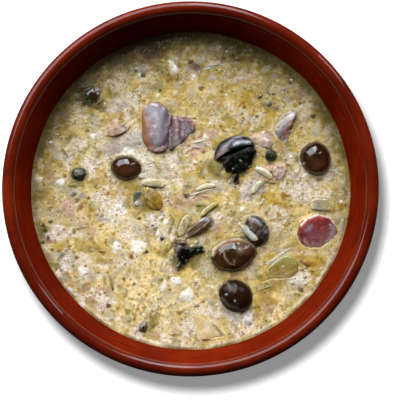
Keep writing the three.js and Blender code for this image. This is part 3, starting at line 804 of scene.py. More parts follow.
def food(name, grid, material, slot, node, paint, film=0.6):
    """Closes a grid to a piece. paint is a colour or holds one for each point of the grid, and
    the marks come over it. Just above the soup a film of broth clings, by the share film."""
    points, faces = capped(grid)
    x, y, z = np.moveaxis(grid, -1, 0)
    uneven = relief(grid, 2.2, 7)
    for colour, width, share, *places in MARKS.get(name, []):
        line = soft_line(x + 0.25 * uneven, y, places, width)
        paint = blend(paint, MARK_COLOURS[colour], share * line)
    dry = smooth_step(z - SOUP_LEVEL - 0.4 * uneven, 0.35, 1.15)
    paint = np.clip(blend(paint, BROTH_FILM, film * (1 - dry)), 0, 1)
    poles = paint[0].mean(axis=0), paint[-1].mean(axis=0)
    layers = {"paint": np.vstack([paint.reshape(-1, 3), *poles])}
    AFLOAT[name] = points
    make_piece(name, points, outward(points, faces), material, slot, node, layers)

# %% [markdown]
# ## Wet food
# Everything here is boiled and wet. One recipe serves: the painted colour, a finer grain over
# it, a fine bump and a low roughness. What changes is the size of the grain, how deep it goes
# and how much light passes into the flesh.

# %% The recipe
def wet_finish(name, roughness, grain, shadow, depth, inside=0.0, coat=0.0, gloss=0.5):
    """grain is the size in mm of the mottle, shadow the darker colour's share, depth the bump
    in mm, inside the share of light that enters the flesh, gloss how much it mirrors."""
    wet = Finish(name, Roughness=roughness, IOR=1.42, Specular_IOR_Level=gloss)
    base = wet.layer("paint")
    dark = wet.mix(1.0, base, (shadow, shadow, shadow), blend="MULTIPLY")
    mottle = wet.noise(grain, 4, 0.65)
    wet.set("Base_Color", wet.mix(wet.range(mottle, 0.38, 0.66), dark, base))
    height = wet.sum(wet.noise(grain * 0.7, 3, 0.6), wet.noise(grain * 3, 2, 0.5))
    wet.set("Normal", wet.bump(height, depth, 0.8))
    if inside:
        wet.set("Subsurface_Weight", inside)
        wet.set("Subsurface_Radius", (1.0, 0.6, 0.35))
        wet.set("Subsurface_Scale", 1.2 * MM)
    if coat:
        wet.set("Coat_Weight", coat)
        wet.set("Coat_Roughness", 0.06)
    return wet.material

# %% [markdown]
# ## Olives and capers
# Stoned olives lie half sunk. Their skin is thin and tight, nearly black, and a warm brown where
# the window's light has gone through the flesh. The window itself shines in it. A caper is the
# same form, small, green and more wrinkled.

# %% Olives
OLIVE_DARK = (0.022, 0.008, 0.002)
OLIVE_BROWN = (0.11, 0.045, 0.010)
olive_skin = wet_finish("olive_skin", 0.10, 1.3, 0.72, 0.04, coat=0.6)
dull_skin = wet_finish("dull_olive_skin", 0.20, 1.3, 0.72, 0.03, gloss=0.2)

# name: length, width, height, taper, place, turn, how brown, seed
OLIVES = {
    "olive_1": (14.8, 13.2, 13.0, 0.05, (-49.1, 46.5, -4.8), 140, 0.30, 31),
    "olive_2": (16.6, 13.4, 12.8, 0.06, (-31.5, 10.5, -2.0), -8, 1.0, 32),
    "olive_3": (18.0, 16.2, 15.2, 0.05, (61.4, 15.0, -2.0), -70, 0.75, 33),
    "olive_4": (24.4, 17.4, 15.6, 0.07, (21.1, -31.7, -2.2), 12, 0.8, 34),
    "olive_5": (18.2, 16.2, 14.4, -0.05, (21.9, -51.9, -1.8), -38, 0.0, 35),
    "olive_bit": (6.2, 4.4, 3.6, 0.3, (-22.8, -67.0, -0.6), 72, 0.4, 36),
}


def olive(name, length, width, height, taper, place, turn, brown, seed):
    """An egg. Its brown grows from its middle to its near side as a painted glow of light through
    the flesh, and comes in smooth clouds.
    """
    grid = egg(length, width, height, taper, 64, 84)
    grid = laid(rough(grid, 0.12, (0.10, 7, seed), (0.04, 2.2, seed + 40)), place, turn)
    # painted glow of the window's light through the flesh, growing towards the near side
    lit = smooth_step(place[1] - grid[..., 1], -0.1 * width, 0.45 * width)
    cloud = (0.02 + 0.16 * brown) * relief(grid, 5, seed + 80)
    paint = blend(OLIVE_DARK, OLIVE_BROWN, np.clip(brown * (0.12 + lit) + cloud, 0, 1))
    food(name, grid, olive_skin if brown else dull_skin, "olive", name, paint, 0.25)


for name, shape in OLIVES.items():
    olive(name, *shape)

# %% Capers
CAPER_GREEN = (0.060, 0.065, 0.018)
CAPER_DARK = (0.012, 0.018, 0.010)
caper_skin = wet_finish("caper_skin", 0.30, 0.8, 0.6, 0.10)

CAPERS = {
    "caper_1": (8.8, 7.4, 6.6, 0.1, (-54.6, 7.6, -1.0), 10, 41),
    "caper_2": (6.6, 6.2, 6.0, 0.08, (39.4, 16.9, -0.5), 60, 42),
}


def caper(name, length, width, height, taper, place, turn, seed):
    """A small egg, rougher than an olive, green in clouds."""
    grid = rough(egg(length, width, height, taper, 30, 40), 0.10, (0.14, 2.4, seed))
    grid = laid(grid, place, turn)
    paint = clouded(grid, CAPER_DARK, CAPER_GREEN, 3, seed + 5, -0.6, 1.0)
    food(name, grid, caper_skin, "caper", name, paint)


for name, shape in CAPERS.items():
    caper(name, *shape)

# %% [markdown]
# ## Mushrooms
# Boiled mushrooms turn nearly black, and slippery. Their skin shines lilac-grey where it faces
# the window; on the largest that reflection is also painted, as a lilac band with a dark edge and
# a pale blue line. The largest lies on its side: a bulging hood, dark gills in front of it and a
# torn stem. The others are a cap, a curled slice, a wedge and a scrap.

# %% Mushroom finishes
SKIN_GREY = (0.030, 0.024, 0.026)
SKIN_BLACK = (0.010, 0.009, 0.008)
GILL_BLACK = (0.004, 0.005, 0.003)
FLESH_BROWN = (0.30, 0.19, 0.13)
mushroom_skin = wet_finish("mushroom_skin", 0.16, 1.0, 0.55, 0.06, gloss=0.32)
mushroom_gills = wet_finish("mushroom_gills", 0.24, 0.9, 0.4, 0.08, gloss=0.26)
mushroom_flesh = wet_finish("mushroom_flesh", 0.22, 0.9, 0.6, 0.12)

# %% The mushroom on its side
TIPPED_PLACE = (22.1, 17.3, 0.2)
TIPPED_TURN = 21.0


def tipped_hood():
    """A cap tipped past upright and pressed to half its height."""
    grid = rough(cap(10.8, 8.8, 2.4, gills=34), 0.1, (0.16, 6, 51), (0.08, 2.4, 52))
    grid = laid(grid @ rotation(0, -102, 0).T * [1, 1, 0.5], TIPPED_PLACE, TIPPED_TURN)
    grey = np.clip(0.5 + 0.5 * relief(grid, 5, 53), 0, 1)
    # its marks paint the window's reflection: a lilac band, a black edge round it and a pale blue
    # line
    food("mushroom_hood", grid, mushroom_skin, "mushroom", "mushroom_1",
         blend(SKIN_BLACK, SKIN_GREY, grey))


def tipped_gills():
    """A slab whose outline is torn by two cosines and whose top has the gills as a third."""
    edge = cut_edge([(6.5, 90), (8.8, 12), (6.8, 306), (7.6, 254), (8.4, 188)])

    def ragged(angle):
        return edge(angle) * (1 + 0.05 * np.cos(9 * angle) + 0.04 * np.cos(17 * angle + 1))

    grid = slab(ragged, 4.2, lambda x, y: 0.10 * np.cos(x * 3.4 + y * 0.8) + 0.3 * np.cos(y * 0.7))
    grid = laid(grid + [0.6, -1.8, 0.2], TIPPED_PLACE, TIPPED_TURN)
    food("mushroom_gills", grid, mushroom_gills, "mushroom", None,
         clouded(grid, GILL_BLACK, (0.035, 0.03, 0.02), 3, 54, 0.2, 1.4))


def tipped_stem():
    """A thin rough egg that hangs down from the hood."""
    grid = rough(egg(11.5, 3.8, 3.2, 0.3, 34, 30), 0.1, (0.25, 2.5, 55))
    grid = laid(grid @ rotation(-114).T + [-3.8, -10.2, -0.2], TIPPED_PLACE, TIPPED_TURN)
    food("mushroom_1_stem", grid, mushroom_gills, "mushroom", None, (0.008, 0.008, 0.006))


tipped_hood()
tipped_gills()
tipped_stem()

# %% The other mushrooms
def small_cap():
    """A cap, flat on one axis, with deep wrinkles of two sizes, lighter and darker in clouds."""
    grid = cap(8.3, 5.6, 1.2, gills=26) * [1, 0.8, 1]
    grid = rough(grid, 0.15, (0.22, 3.2, 61), (0.12, 1.5, 62))
    grid = laid(grid, (32.2, -20.6, -1.6), -72, (-6, 6))
    light = smooth_step(relief(grid, 4, 63) + 0.6 * relief(grid, 1.6, 64), -0.6, 1.2)
    food("mushroom_cap", grid, mushroom_skin, "mushroom", "mushroom_4",
         blend((0.035, 0.028, 0.022), (0.17, 0.135, 0.115), light))


def curled_slice():
    """An egg with a groove along it, where the slice is rolled, and a paler end."""
    grid = egg(17.6, 5.4, 5.2, -0.18)
    pale = smooth_step(grid[..., 0], 4.5, 8.0)
    fold = 1 - smooth_step(np.abs(grid[..., 1]), 0.6, 1.6)
    grid = laid(rough(grid, 0.5 * fold + 0.05, (0.12, 3, 65)), (3.3, -19.0, 0.6), 37, (0, -9))
    paint = blend(FLESH_BROWN, (0.22, 0.15, 0.13), pale)
    food("mushroom_slice", grid, mushroom_flesh, "mushroom", "mushroom_2",
         blend(paint, (0.13, 0.07, 0.03), 0.7 * fold))


def black_wedge():
    """A slab with four cut sides, brown along the one at its left."""
    edge = cut_edge([(4.4, 78), (5.2, 322), (3.4, 186), (9.6, 232)])
    grid = slab(edge, 4.8, lambda x, y: 0.2 * np.cos(x * 0.9) + 0.1 * np.cos(y * 0.8))
    rim = smooth_step(-grid[..., 0] - 0.12 * grid[..., 1], 1.8, 3.0)
    grid = laid(rough(grid, 0.1, (0.12, 3, 66)), (-4.6, -31.6, -0.9), 0, (6, -8))
    food("mushroom_wedge", grid, mushroom_gills, "mushroom", "mushroom_3",
         blend(GILL_BLACK, (0.20, 0.10, 0.06), 0.85 * rim))


def scrap(name, node, form, place, turn, colour, material, seed):
    """A rough egg, lighter and darker in clouds."""
    grid = laid(rough(egg(*form, 0.05, 28, 34), 0.12, (0.3, 2.2, seed)), place, turn)
    shade = smooth_step(relief(grid, 1.8, seed + 1), -1, 1)[..., None]
    food(name, grid, material, "mushroom", node, colour * (0.6 + 0.6 * shade))


small_cap()
curled_slice()
black_wedge()
scrap("mushroom_scrap", "mushroom_5", (6.4, 4.6, 4.4), (3.9, -29.4, -0.2), 12,
      (0.020, 0.028, 0.012), mushroom_skin, 67)
scrap("mushroom_stem_bit", "mushroom_stem", (7.2, 3.2, 3.0), (-4.9, -25.2, 0.4), -6,
      (0.42, 0.34, 0.20), mushroom_flesh, 68)

# %% [markdown]
# ## Smoked meat, sausage and ham
# The meat is one thin slice folded over itself: grey-lilac, with pink and white marbling in its
# wet folds and a brown smoked edge. A sheen on its dome and shade in its fold and between its
# pleats are painted. The sausage is a round slice with its skin still on, darker lean and specks
# of fat. Ham lies in small pale strips.

# %% Folded meat
MEAT_GREY = (0.20, 0.145, 0.155)
MEAT_PINK = (0.52, 0.36, 0.32)
MEAT_WHITE = (0.66, 0.57, 0.53)
MEAT_PLACE = (-10.9, 29.8, -0.2)
meat_flesh = wet_finish("meat_flesh", 0.28, 1.2, 0.72, 0.05)


def marbled(grid, seed, size):
    """Grey lean with pink and white veins: thin bands where smooth relief passes zero."""
    vein = 1 - smooth_step(np.abs(relief(grid, size, seed)), 0.05, 0.45)
    white = 1 - smooth_step(np.abs(relief(grid, size * 0.6, seed + 1)), 0.02, 0.30)
    return blend(blend(MEAT_GREY, MEAT_PINK, 0.3 * vein), MEAT_WHITE, 0.2 * white)


def broad_lobe():
    """A slab that swells in a bell curve, with folds as a cosine on its right."""
    edge = cut_edge([(8.0, 180), (13.3, 108), (9.8, 39), (6.7, -10), (11.8, 284), (10.2, 220)])

    def dome(x, y):
        swell = 1.6 * np.exp(-((x + 1.5) ** 2) / 34 - (y ** 2) / 110)
        return swell + 0.35 * np.cos((x - 0.35 * y) * 1.05) * smooth_step(x, 0, 4)

    grid = slab(edge, 3.2, dome, 40, 130)
    paint = marbled(grid, 71, 4.0)
    grid = rough(grid, 0.06, (0.07, 4, 73), (0.02, 1.6, 74)) + [-5.2, 0, 0]
    # its marks paint a sheen on the dome and shade in the fold, besides the veins and smoked edge
    food("meat_fold", laid(grid, MEAT_PLACE), meat_flesh, "smoked_meat", "meat_1", paint)


def pleated_lobe():
    """A slab in pleats, which are a cosine across it, with painted shade at their bottoms."""
    edge = cut_edge([(7.5, 83), (7.5, 27), (4.2, -46), (9.4, 270), (6.6, 180)])

    def pleats(x, y):
        return 0.5 + 0.7 * np.cos((x - 0.6 + 0.12 * y) * math.radians(56))

    grid = slab(edge, 2.8, pleats, 40, 120)
    # painted shade at the bottoms of the pleats
    bottoms = smooth_step(-pleats(grid[..., 0], grid[..., 1]), -0.8, 0.1)
    paint = blend(marbled(grid, 75, 3.0), (0.22, 0.12, 0.13), 0.6 * bottoms)
    grid = rough(grid, 0.1, (0.10, 2.4, 77)) + [6.2, -1.4, -0.3]
    food("meat_pleats", laid(grid, MEAT_PLACE), meat_flesh, "smoked_meat", None, paint, 0.1)


def small_meat():
    """A slab with slanting folds, whiter towards its far end."""
    edge = cut_edge([(6.2, 128), (9.5, 69), (3.4, -18), (6.9, 234), (5.6, 208), (6.0, 159)])
    grid = slab(edge, 2.8, lambda x, y: 0.5 * np.cos((x - y) * math.radians(30)))
    white = 0.5 * smooth_step(grid[..., 1], 0, 5)
    paint = blend(marbled(grid, 78, 3.0), MEAT_WHITE, white)
    grid = laid(rough(grid, 0.08, (0.12, 2.6, 79)), (46.4, 30.2, -0.1), 0, (0, -6))
    food("meat_scrap", grid, meat_flesh, "smoked_meat", "meat_2", paint)


broad_lobe()
pleated_lobe()
small_meat()

# %% Sausage
SAUSAGE_RED = (0.20, 0.018, 0.022)
SAUSAGE_PINK = (0.30, 0.075, 0.085)
SAUSAGE_FAT = (0.56, 0.44, 0.38)
SAUSAGE_SKIN = (0.40, 0.085, 0.015)
sausage_flesh = wet_finish("sausage_flesh", 0.34, 0.9, 0.75, 0.06)


def sausage():
    """A nearly round slab, with clouds of pink, specks of fat and a skin in its last tenth."""
    def edge(angle):
        return 9.9 + 0.25 * np.cos(2 * angle) - 0.15 * np.cos(3 * angle + 1)

    grid = slab(edge, 4.2, lambda x, y: 0.3 - (x * x + y * y) / 260, 44, 130)
    x, y = grid[..., 0], grid[..., 1]
    share = np.hypot(x, y) / edge(np.arctan2(y, x))
    fat = smooth_step(relief(grid, 2.6, 81) + 0.7 * relief(grid, 1.2, 82), 0.3, 1.3)
    cloud = smooth_step(relief(grid, 7, 83) - 0.12 * y, -0.8, 1.0)
    paint = blend(SAUSAGE_RED, SAUSAGE_PINK, 0.75 * cloud)
    paint = blend(paint, SAUSAGE_FAT, 0.3 * fat * smooth_step(x - y, -1, 9))
    skin = smooth_step(share, 0.90, 0.96) * (1 - smooth_step(x - y, 1, 8))
    grid = rough(grid, 0.08, (0.07, 3, 84), (0.05, 1.4, 85))
    food("sausage_round", laid(grid, (62.2, -21.8, -0.9), 0, (9, 4)), sausage_flesh, "sausage",
         "sausage_slice", blend(paint, SAUSAGE_SKIN, skin), 0.25)


sausage()

# %% Ham
HAM_PINK = (0.52, 0.32, 0.24)
HAM_PALE = (0.62, 0.50, 0.42)
HAM_BROWN = (0.36, 0.19, 0.07)
ham_flesh = wet_finish("ham_flesh", 0.24, 1.0, 0.8, 0.08, inside=0.25)


def ham(name, node, grid, place, turn, tilt, inset, depth, size, seed):
    """Pink with pale and brown clouds, roughened to a depth by relief of a size."""
    paint = clouded(grid, HAM_PINK, HAM_PALE, 3, seed + 1, -0.6, 0.9)
    paint = clouded(grid, paint, HAM_BROWN, 4, seed + 2, 0.6, 1.4, 0.7)
    grid = laid(rough(grid, inset, (depth, size, seed)), place, turn, tilt)
    food(name, grid, ham_flesh, "ham", node, paint)


curl = strip(14.5, 4.4, 1.5, -70, lambda x, y: 0.6 * np.cos(3.4 * x) + 0.5 * y * y)
cube = slab(cut_edge([(3.6, 90), (3.5, 0), (4.4, 300), (3.4, 240), (3.2, 180)]), 3.4, None, 26, 70)
fold = strip(11.5, 5.0, 1.7, 30, lambda x, y: 0.4 * np.sin(4 * x) + 0.3 * y)
ham("ham_curl", "ham_1", curl, (-35.6, 29.0, 0.3), 22, (0, 0), 0.04, 0.1, 2.5, 86)
ham("ham_cube", "ham_2", cube, (43.2, 8.7, -0.4), -28, (0, 5), 0.08, 0.12, 2.5, 88)
ham("ham_fold", "ham_3", fold, (35.0, 23.4, 0.1), -14, (0, 0), 0.04, 0.1, 2.2, 90)

# %% [markdown]
# ## Pickles, onion and potato
# Pickled cucumber is glassy and yellow-green with a darker skin along one side. Cooked onion is
# glassier still, nearly white along its edges, partly paler flesh and partly a painted highlight,
# with fine veins. Potato is dull and cream.

# %% Pickled cucumber
PICKLE_FLESH = (0.46, 0.34, 0.05)
PICKLE_SKIN = (0.32, 0.29, 0.10)
PICKLE_BROWN = (0.25, 0.15, 0.022)
pickle_flesh = wet_finish("pickle_flesh", 0.16, 1.1, 0.78, 0.10, inside=0.35, coat=0.3)


def pickle(name, node, grid, place, turn, tilt, seed, brown, skin_side, film=0.7):
    """Flesh in clouds of brown. skin_side is the direction, in the piece's own plane, in which
    the last fifth of it has the skin."""
    angle = math.radians(skin_side)
    outwards = grid[..., 0] * math.cos(angle) + grid[..., 1] * math.sin(angle)
    skin = smooth_step(outwards, 0.72 * outwards.max(), 0.92 * outwards.max())
    paint = clouded(grid, PICKLE_FLESH, PICKLE_BROWN, 4, seed, -0.8, 1.0, brown)
    grid = laid(rough(grid, 0.05, (0.05, 3.4, seed + 1)), place, turn, tilt)
    food(name, grid, pickle_flesh, "pickle", node, blend(paint, PICKLE_SKIN, 0.9 * skin), film)


half = slab(cut_edge([(5.4, 138), (5.4, 120), (8.4, 67), (9.2, 4), (7.2, -46), (5.1, 270),
                      (8.2, 207)], 7), 3.0, lambda x, y: 0.07 * y)
wedge = slab(cut_edge([(5.8, 70), (4.1, 25), (5.7, -26), (4.4, 251), (3.5, 204), (5.4, 164)]),
             3.4, lambda x, y: 0.35 * np.cos((y + 1) * math.radians(24)))
chip = slab(cut_edge([(2.0, 95), (4.2, 20), (2.2, 275), (4.0, 190)]), 2.2, None, 22, 60)
sliver = strip(11, 2.7, 1.0, 24, lambda x, y: 0.5 + 0.5 * x - 0.3 * y)
heart = egg(6.6, 4.4, 2.6, 0.0, 28, 34)
pickle("pickle_half", "pickle_1", half, (43.6, -39.4, -0.4), 0, (5, 0), 92, 0.35, 125, 0.45)
pickle("pickle_wedge", "pickle_2", wedge, (-18.4, -5.6, -0.5), 0, (4, 4), 94, 2.5, 200, 0.15)
pickle("pickle_chip", "pickle_3", chip, (35.0, -47.2, -0.4), 16, (0, 0), 96, 0.3, 95)
pickle("pickle_sliver", "pickle_4", sliver, (8.6, -9.4, 0.1), 38, (0, 0), 98, 0.2, 90)
pickle("pickle_heart", "pickle_5", heart, (-11.4, -28.4, -0.2), 78, (0, 0), 99, 0.1, 0)

# %% Onion
ONION_FLESH = (0.56, 0.48, 0.29)
ONION_EDGE = (0.64, 0.57, 0.40)
ONION_BROTH = (0.56, 0.45, 0.22)
onion_flesh = wet_finish("onion_flesh", 0.18, 0.9, 0.95, 0.04, inside=0.6, coat=0.2)


def onion(name, node, grid, place, turn, seed, colour=ONION_FLESH, edge=0.6, tilt=(0, 0)):
    """Veins run along the piece: a cosine across it. Its edges are the whitest, partly paler flesh
    and partly a painted highlight, and its ends and some clouds take the colour of the broth."""
    x, y = grid[..., 0], grid[..., 1]
    vein = 0.5 + 0.5 * np.cos(y * 4.2 + 0.6 * np.cos(x * 0.9))
    across = np.abs(y - y.mean())
    # whiter edges: partly paler flesh, partly a painted highlight
    pale = 0.25 * vein + edge * smooth_step(across / across.max(), 0.5, 0.95)
    paint = blend(colour, ONION_EDGE, np.clip(pale, 0, 1))
    ends = smooth_step(np.abs(x - x.mean()) / np.ptp(x), 0.22, 0.5)
    cloud = smooth_step(relief(grid, 2.6, seed + 9), -0.2, 0.9)
    paint = blend(paint, ONION_BROTH, np.clip(0.7 * ends + 0.6 * cloud, 0, 0.85))
    grid = rough(grid, 0.03 - 0.03 * (vein - 0.5), (0.04, 2.4, seed))
    food(name, laid(grid, place, turn, tilt), onion_flesh, "onion", node, paint, 0.9)


half = slab(cut_edge([(3.6, 90), (5.4, 30), (5.6, -12), (2.4, 268), (5.6, 192), (5.4, 150)]),
            1.7, lambda x, y: 0.5 - x * x / 50)
arc = strip(10, 3.5, 0.95, 50, lambda x, y: 0.9 - 0.5 * y * y - 0.5 * x * x)
pair = strip(8, 3.5, 0.95, 20, lambda x, y: 0.5 - 0.4 * y * y)
draped = strip(10.6, 4.1, 1.05, 20, lambda x, y: 0.4 - 0.5 * y * y)
fan = strip(11.6, 4.3, 1.15, 24, lambda x, y: 0.4 * x - 0.3 * y * y)
white = strip(11.4, 4.1, 1.25, 44, lambda x, y: 0.5 + 0.35 * np.cos(4 * x) - 0.3 * y * y)
thin = strip(10, 3.1, 0.95, 40, lambda x, y: 0.5 - 0.4 * y * y)
onion("onion_half", "onion_1", half, (64.0, -8.0, -0.1), -3, 101, (0.33, 0.29, 0.16), 0.4)
onion("onion_arc", "onion_2", arc, (36.2, 8.3, 0.2), -34, 102, edge=0.9)
onion("onion_pair", "onion_3", pair, (32.4, 1.1, 0.1), 52, 103, (0.45, 0.43, 0.32))
onion("onion_on_mushroom", "onion_4", draped, (28.6, -21.4, 3.1), -44, 104,
      (0.34, 0.33, 0.30), 0.8, (-16, 0))
onion("onion_fan", "onion_5", fan, (-3.5, -17.6, 0.3), 64, 105, (0.33, 0.26, 0.10), 0.5)
onion("onion_white", "onion_6", white, (-18.2, 3.2, 0.3), -6, 106, (0.52, 0.44, 0.27))
onion("onion_strip", "onion_7", thin, (7.2, 1.3, 0.1), 14, 107, (0.50, 0.43, 0.20))

# %% Potato
potato_flesh = wet_finish("potato_flesh", 0.38, 1.4, 0.88, 0.10, inside=0.4)
wedge = slab(cut_edge([(3.3, 56), (4.6, -80), (8.7, 188)], 11), 4.0)
paint = clouded(wedge, (0.74, 0.57, 0.26), (0.86, 0.70, 0.40), 5, 111, -0.8, 1.0)
wedge = laid(rough(wedge, 0.05, (0.05, 4, 112)), (10.2, -68.6, -1.5))
food("potato_wedge", wedge, potato_flesh, "potato", "potato_1", paint, 0.1)

# %% [markdown]
# ## The surface of the soup
# The broth is creamy, with a thin froth, and much in it only shows through. So it is one
# smooth skin whose colour comes from a map: a fine square field with a height in mm, a colour
# and a share of froth. Each bit that shows through is a soft oval stamp on that map. Later the
# map is read off at the points of a round mesh.

# %% The map and its stamps
MAP_PITCH = 0.25
MAP_REACH = 80.0
MAP_AXIS = np.arange(-MAP_REACH, MAP_REACH + MAP_PITCH / 2, MAP_PITCH)
MAP_X, MAP_Y = np.meshgrid(MAP_AXIS, MAP_AXIS)
height_map, froth_map = np.zeros_like(MAP_X), np.zeros_like(MAP_X)
SOUP_RADIUS = float(wall_radius(SOUP_LEVEL))


def stamp(x, y, length, width, turn, height, colour, cover, edge, calm=0.5):
    """Lifts the map by a rounded oval and blends its colour in. The oval's edge is soft over
    the share edge of its radius. It takes away the share calm of the froth."""
    reach = max(length, width) * (0.5 + 0.3 * edge) + 0.5
    (low_x, high_x), (low_y, high_y) = (
        [max(int((v + side + MAP_REACH) / MAP_PITCH), 0) for side in (-reach, reach + 0.5)]
        for v in (x, y))
    window = (slice(low_y, high_y), slice(low_x, high_x))
    along = (MAP_X[window] - x) * math.cos(turn) + (MAP_Y[window] - y) * math.sin(turn)
    across = (MAP_Y[window] - y) * math.cos(turn) - (MAP_X[window] - x) * math.sin(turn)
    distance = np.sqrt((2 * along / length) ** 2 + (2 * across / width) ** 2)
    distance += 0.12 * np.cos(3 * np.arctan2(across, along) + x * 7 + y * 5)
    mask = 1 - smooth_step(distance, 1 - edge, 1 + edge * 0.4)
    height_map[window] += height * np.sqrt(np.clip(1 - distance ** 2 * 0.9, 0, 1)) * mask
    colour_map[window] = blend(colour_map[window], colour, mask * cover)
    froth_map[window] *= 1 - calm * mask * cover


print("soup radius:", round(SOUP_RADIUS, 2))

# %% [markdown]
# ## Colours of the broth
# The cream is yellow where fat floats, paler and a little lilac where it is frothy, and olive
# in the shallow rim and where pickle lies below. The large patches are placed as they lie in
# the bowl. Smooth random patches of several sizes break them up. The whole map is made paler
# towards the near side and darker and browner towards the far side.

# %% Patches of broth, fat and froth
# tone: red, green, blue, how much froth it has
TONES = {name: (rgb, froth) for name, *rgb, froth in read_rows("""
broth .6 .49 .225 0, cream .82 .685 .36 0, gold .58 .43 .085 -.35, olive .28 .235 .045 -.2,
grey .52 .46 .29 .7, froth .8 .745 .665 1, pink .64 .44 .34 .5, purple .27 .18 .15 0,
deep .085 .075 .018 .3""")}

# tone: x, y, radius in mm, share
PATCHES = read_tables("""
gold: 5 8 9 .5, 37 -4 8 .8, 27 -5 4 .5, -45 -27 8 .5, -53 -30 6 .6, -65 -28 4 .7, 1 -64 11 .4,
12 -67 7 .5, -39 -54 7 .4, 37 -48 7 1, 42 -38 7 .9, 50 -35 5 .5, 59 -37 5 .8, 24 50 8 .5,
29 44 6 .6, -60 30 6 .4, 48 14 4 .6, 17 -72 4 .5, 35 -12 4 .6, 7 0 5 .5, -20 47 5 .3, 0 42 4 .5,
-70 15 4 .7, -70 1 4 .8, -2 15 5 .5, 12 27 6 .6, 3 -10 5 .4, -2 -12 5 .4, -57 -41 5 .5,
-35 -41 5 .4, -2 -41 6 .5, -43 -30 6 .4, 16 -20 5 .3, 40 39 5 .5, 40 58 5 .4, -13 50 5 .5,
33 -55 6 .6, -70 8 5 .5;
cream: -20 -39 11 .6, -25 -49 12 .7, -13 -54 10 .7, 42 -59 7 .6, -30 -64 7 .5, 12 -47 6 .6,
7 -54 7 .6, 54 24 7 .5, -15 47 7 .4, 5 45 6 .5, 0 -12 5 .4, -35 0 6 .4, 54 -12 8 .6, 17 -7 6 .6,
47 -22 6 .6, -40 -20 8 .6, -30 -26 7 .6, -45 -47 6 .5, -10 -66 6 .5, 17 -42 4 .4, 67 2 5 .6,
26 -13 8 .7, 33 -8 6 .5, 12 -69 8 .7, 2 50 5 .4, -57 -12 6 .6, -20 -54 8 .6, 25 -70 5 .5,
-5 -50 7 .5, 40 -54 6 .5;
olive: 73 20 6 .6, -10 58 6 .6, -2 63 4 .6, 15 20 4 .8, -72 20 5 .6, -70 30 7 .5, -72 -2 4 .9,
70 37 5 .5, -15 70 7 .5, 24 64 8 .6, 35 58 7 .5, -40 40 7 .4, -70 -21 4 .8, 71 -16 4 .7, 12 9 5 .6,
-24 -1 4 .7, -65 40 4 .5, 69 25 4 .5, 26 1 4 .3, 46 20 5 .5, 67 -24 3 .4, 12 -41 5 .4, 5 -30 5 .3,
-29 1 6 .4, 40 58 6 .5, -67 43 6 .7, -57 52 6 .6, 26 72 8 .6, -70 15 5 .6, 5 -36 5 .5;
deep: -50 46 6 .8, -53 43 4 .6, -46 52 4 .5, 20 5 3 .7, 24 9 4 .5, 52 15 2 .8, -8 -35 3 .5,
-70 31 3 .4, 71 40 3 .4, -15 70 4 .4, 24 67 4 .4, -64 46 5 .5, 33 70 6 .5, -46 42 6 .7, 2 -36 5 .5;
purple: -19 67 7 .8, 3 61 4 .6, 12 67 6 .6;
pink: 3 20 7 .8, -53 -16 6 .4, -60 -8 4 .8, 7 26 4 .6, 38 9 6 .5, 42 19 4 .4, -15 -5 5 .7,
-6 -7 5 .6, 6 24 4 .7, 54 35 4 .4;
grey: -64 3 7 .6, 24 -11 8 .5, 22 -18 8 .4, 44 -18 10 .5, 42 -26 7 .5, 7 -38 6 .7, 29 -35 6 .5,
-35 58 10 .5, 40 48 12 .5, 8 40 6 .5, -67 -12 6 .5, 69 -2 5 .5, 17 59 5 .4, -20 40 5 .4;
froth: -31 23 11 .8, -25 15 8 .8, -14 9 10 .7, -45 15 6 .6, -35 -11 7 .9, -42 -12 5 .5,
-65 -21 6 .8, -17 -16 6 .9, -13 -22 5 .6, 54 1 9 .9, 48 6 6 .6, 65 4 5 .5, 33 23 6 .8,
-60 -35 6 .8, -52 -42 5 .5, -35 -37 5 .4, 12 -59 7 .6, 25 -63 6 1, 15 -54 4 .5, 55 40 7 .7,
-25 58 4 .6, -47 30 4 .4, -45 -5 6 .5, -25 -70 5 .6, -23 12 7 .8, -36 9 7 .7, 29 -2 6 .8,
35 1 4 .6, 12 -14 6 .7, 7 -25 4 .6, 29 3 4 .7, 54 8 6 .7, 66 -2 4 .6, -57 22 7 .6, -50 12 6 .8,
-10 15 5 .7, 0 12 4 .6, 74 5 3 .4, 42 30 4 .5, -52 -35 5 .5, 20 -60 5 .7, -38 42 5 .5, -29 43 8 .8,
-35 51 6 .4, 12 1 4 .6, 40 -13 7 .6, -2 -68 8 .7, 22 -67 6 .5, 12 70 4 .4, -13 1 5 .5, 67 14 6 .6,
47 14 5 .7, 68 8 5 .6, -43 -54 8 .6, 53 -44 6 .8, -21 18 9 .6, -31 24 8 .5, -28 -20 7 .5,
68 28 4 .5""")

print("patches:", sum(len(rows) for rows in PATCHES.values()))

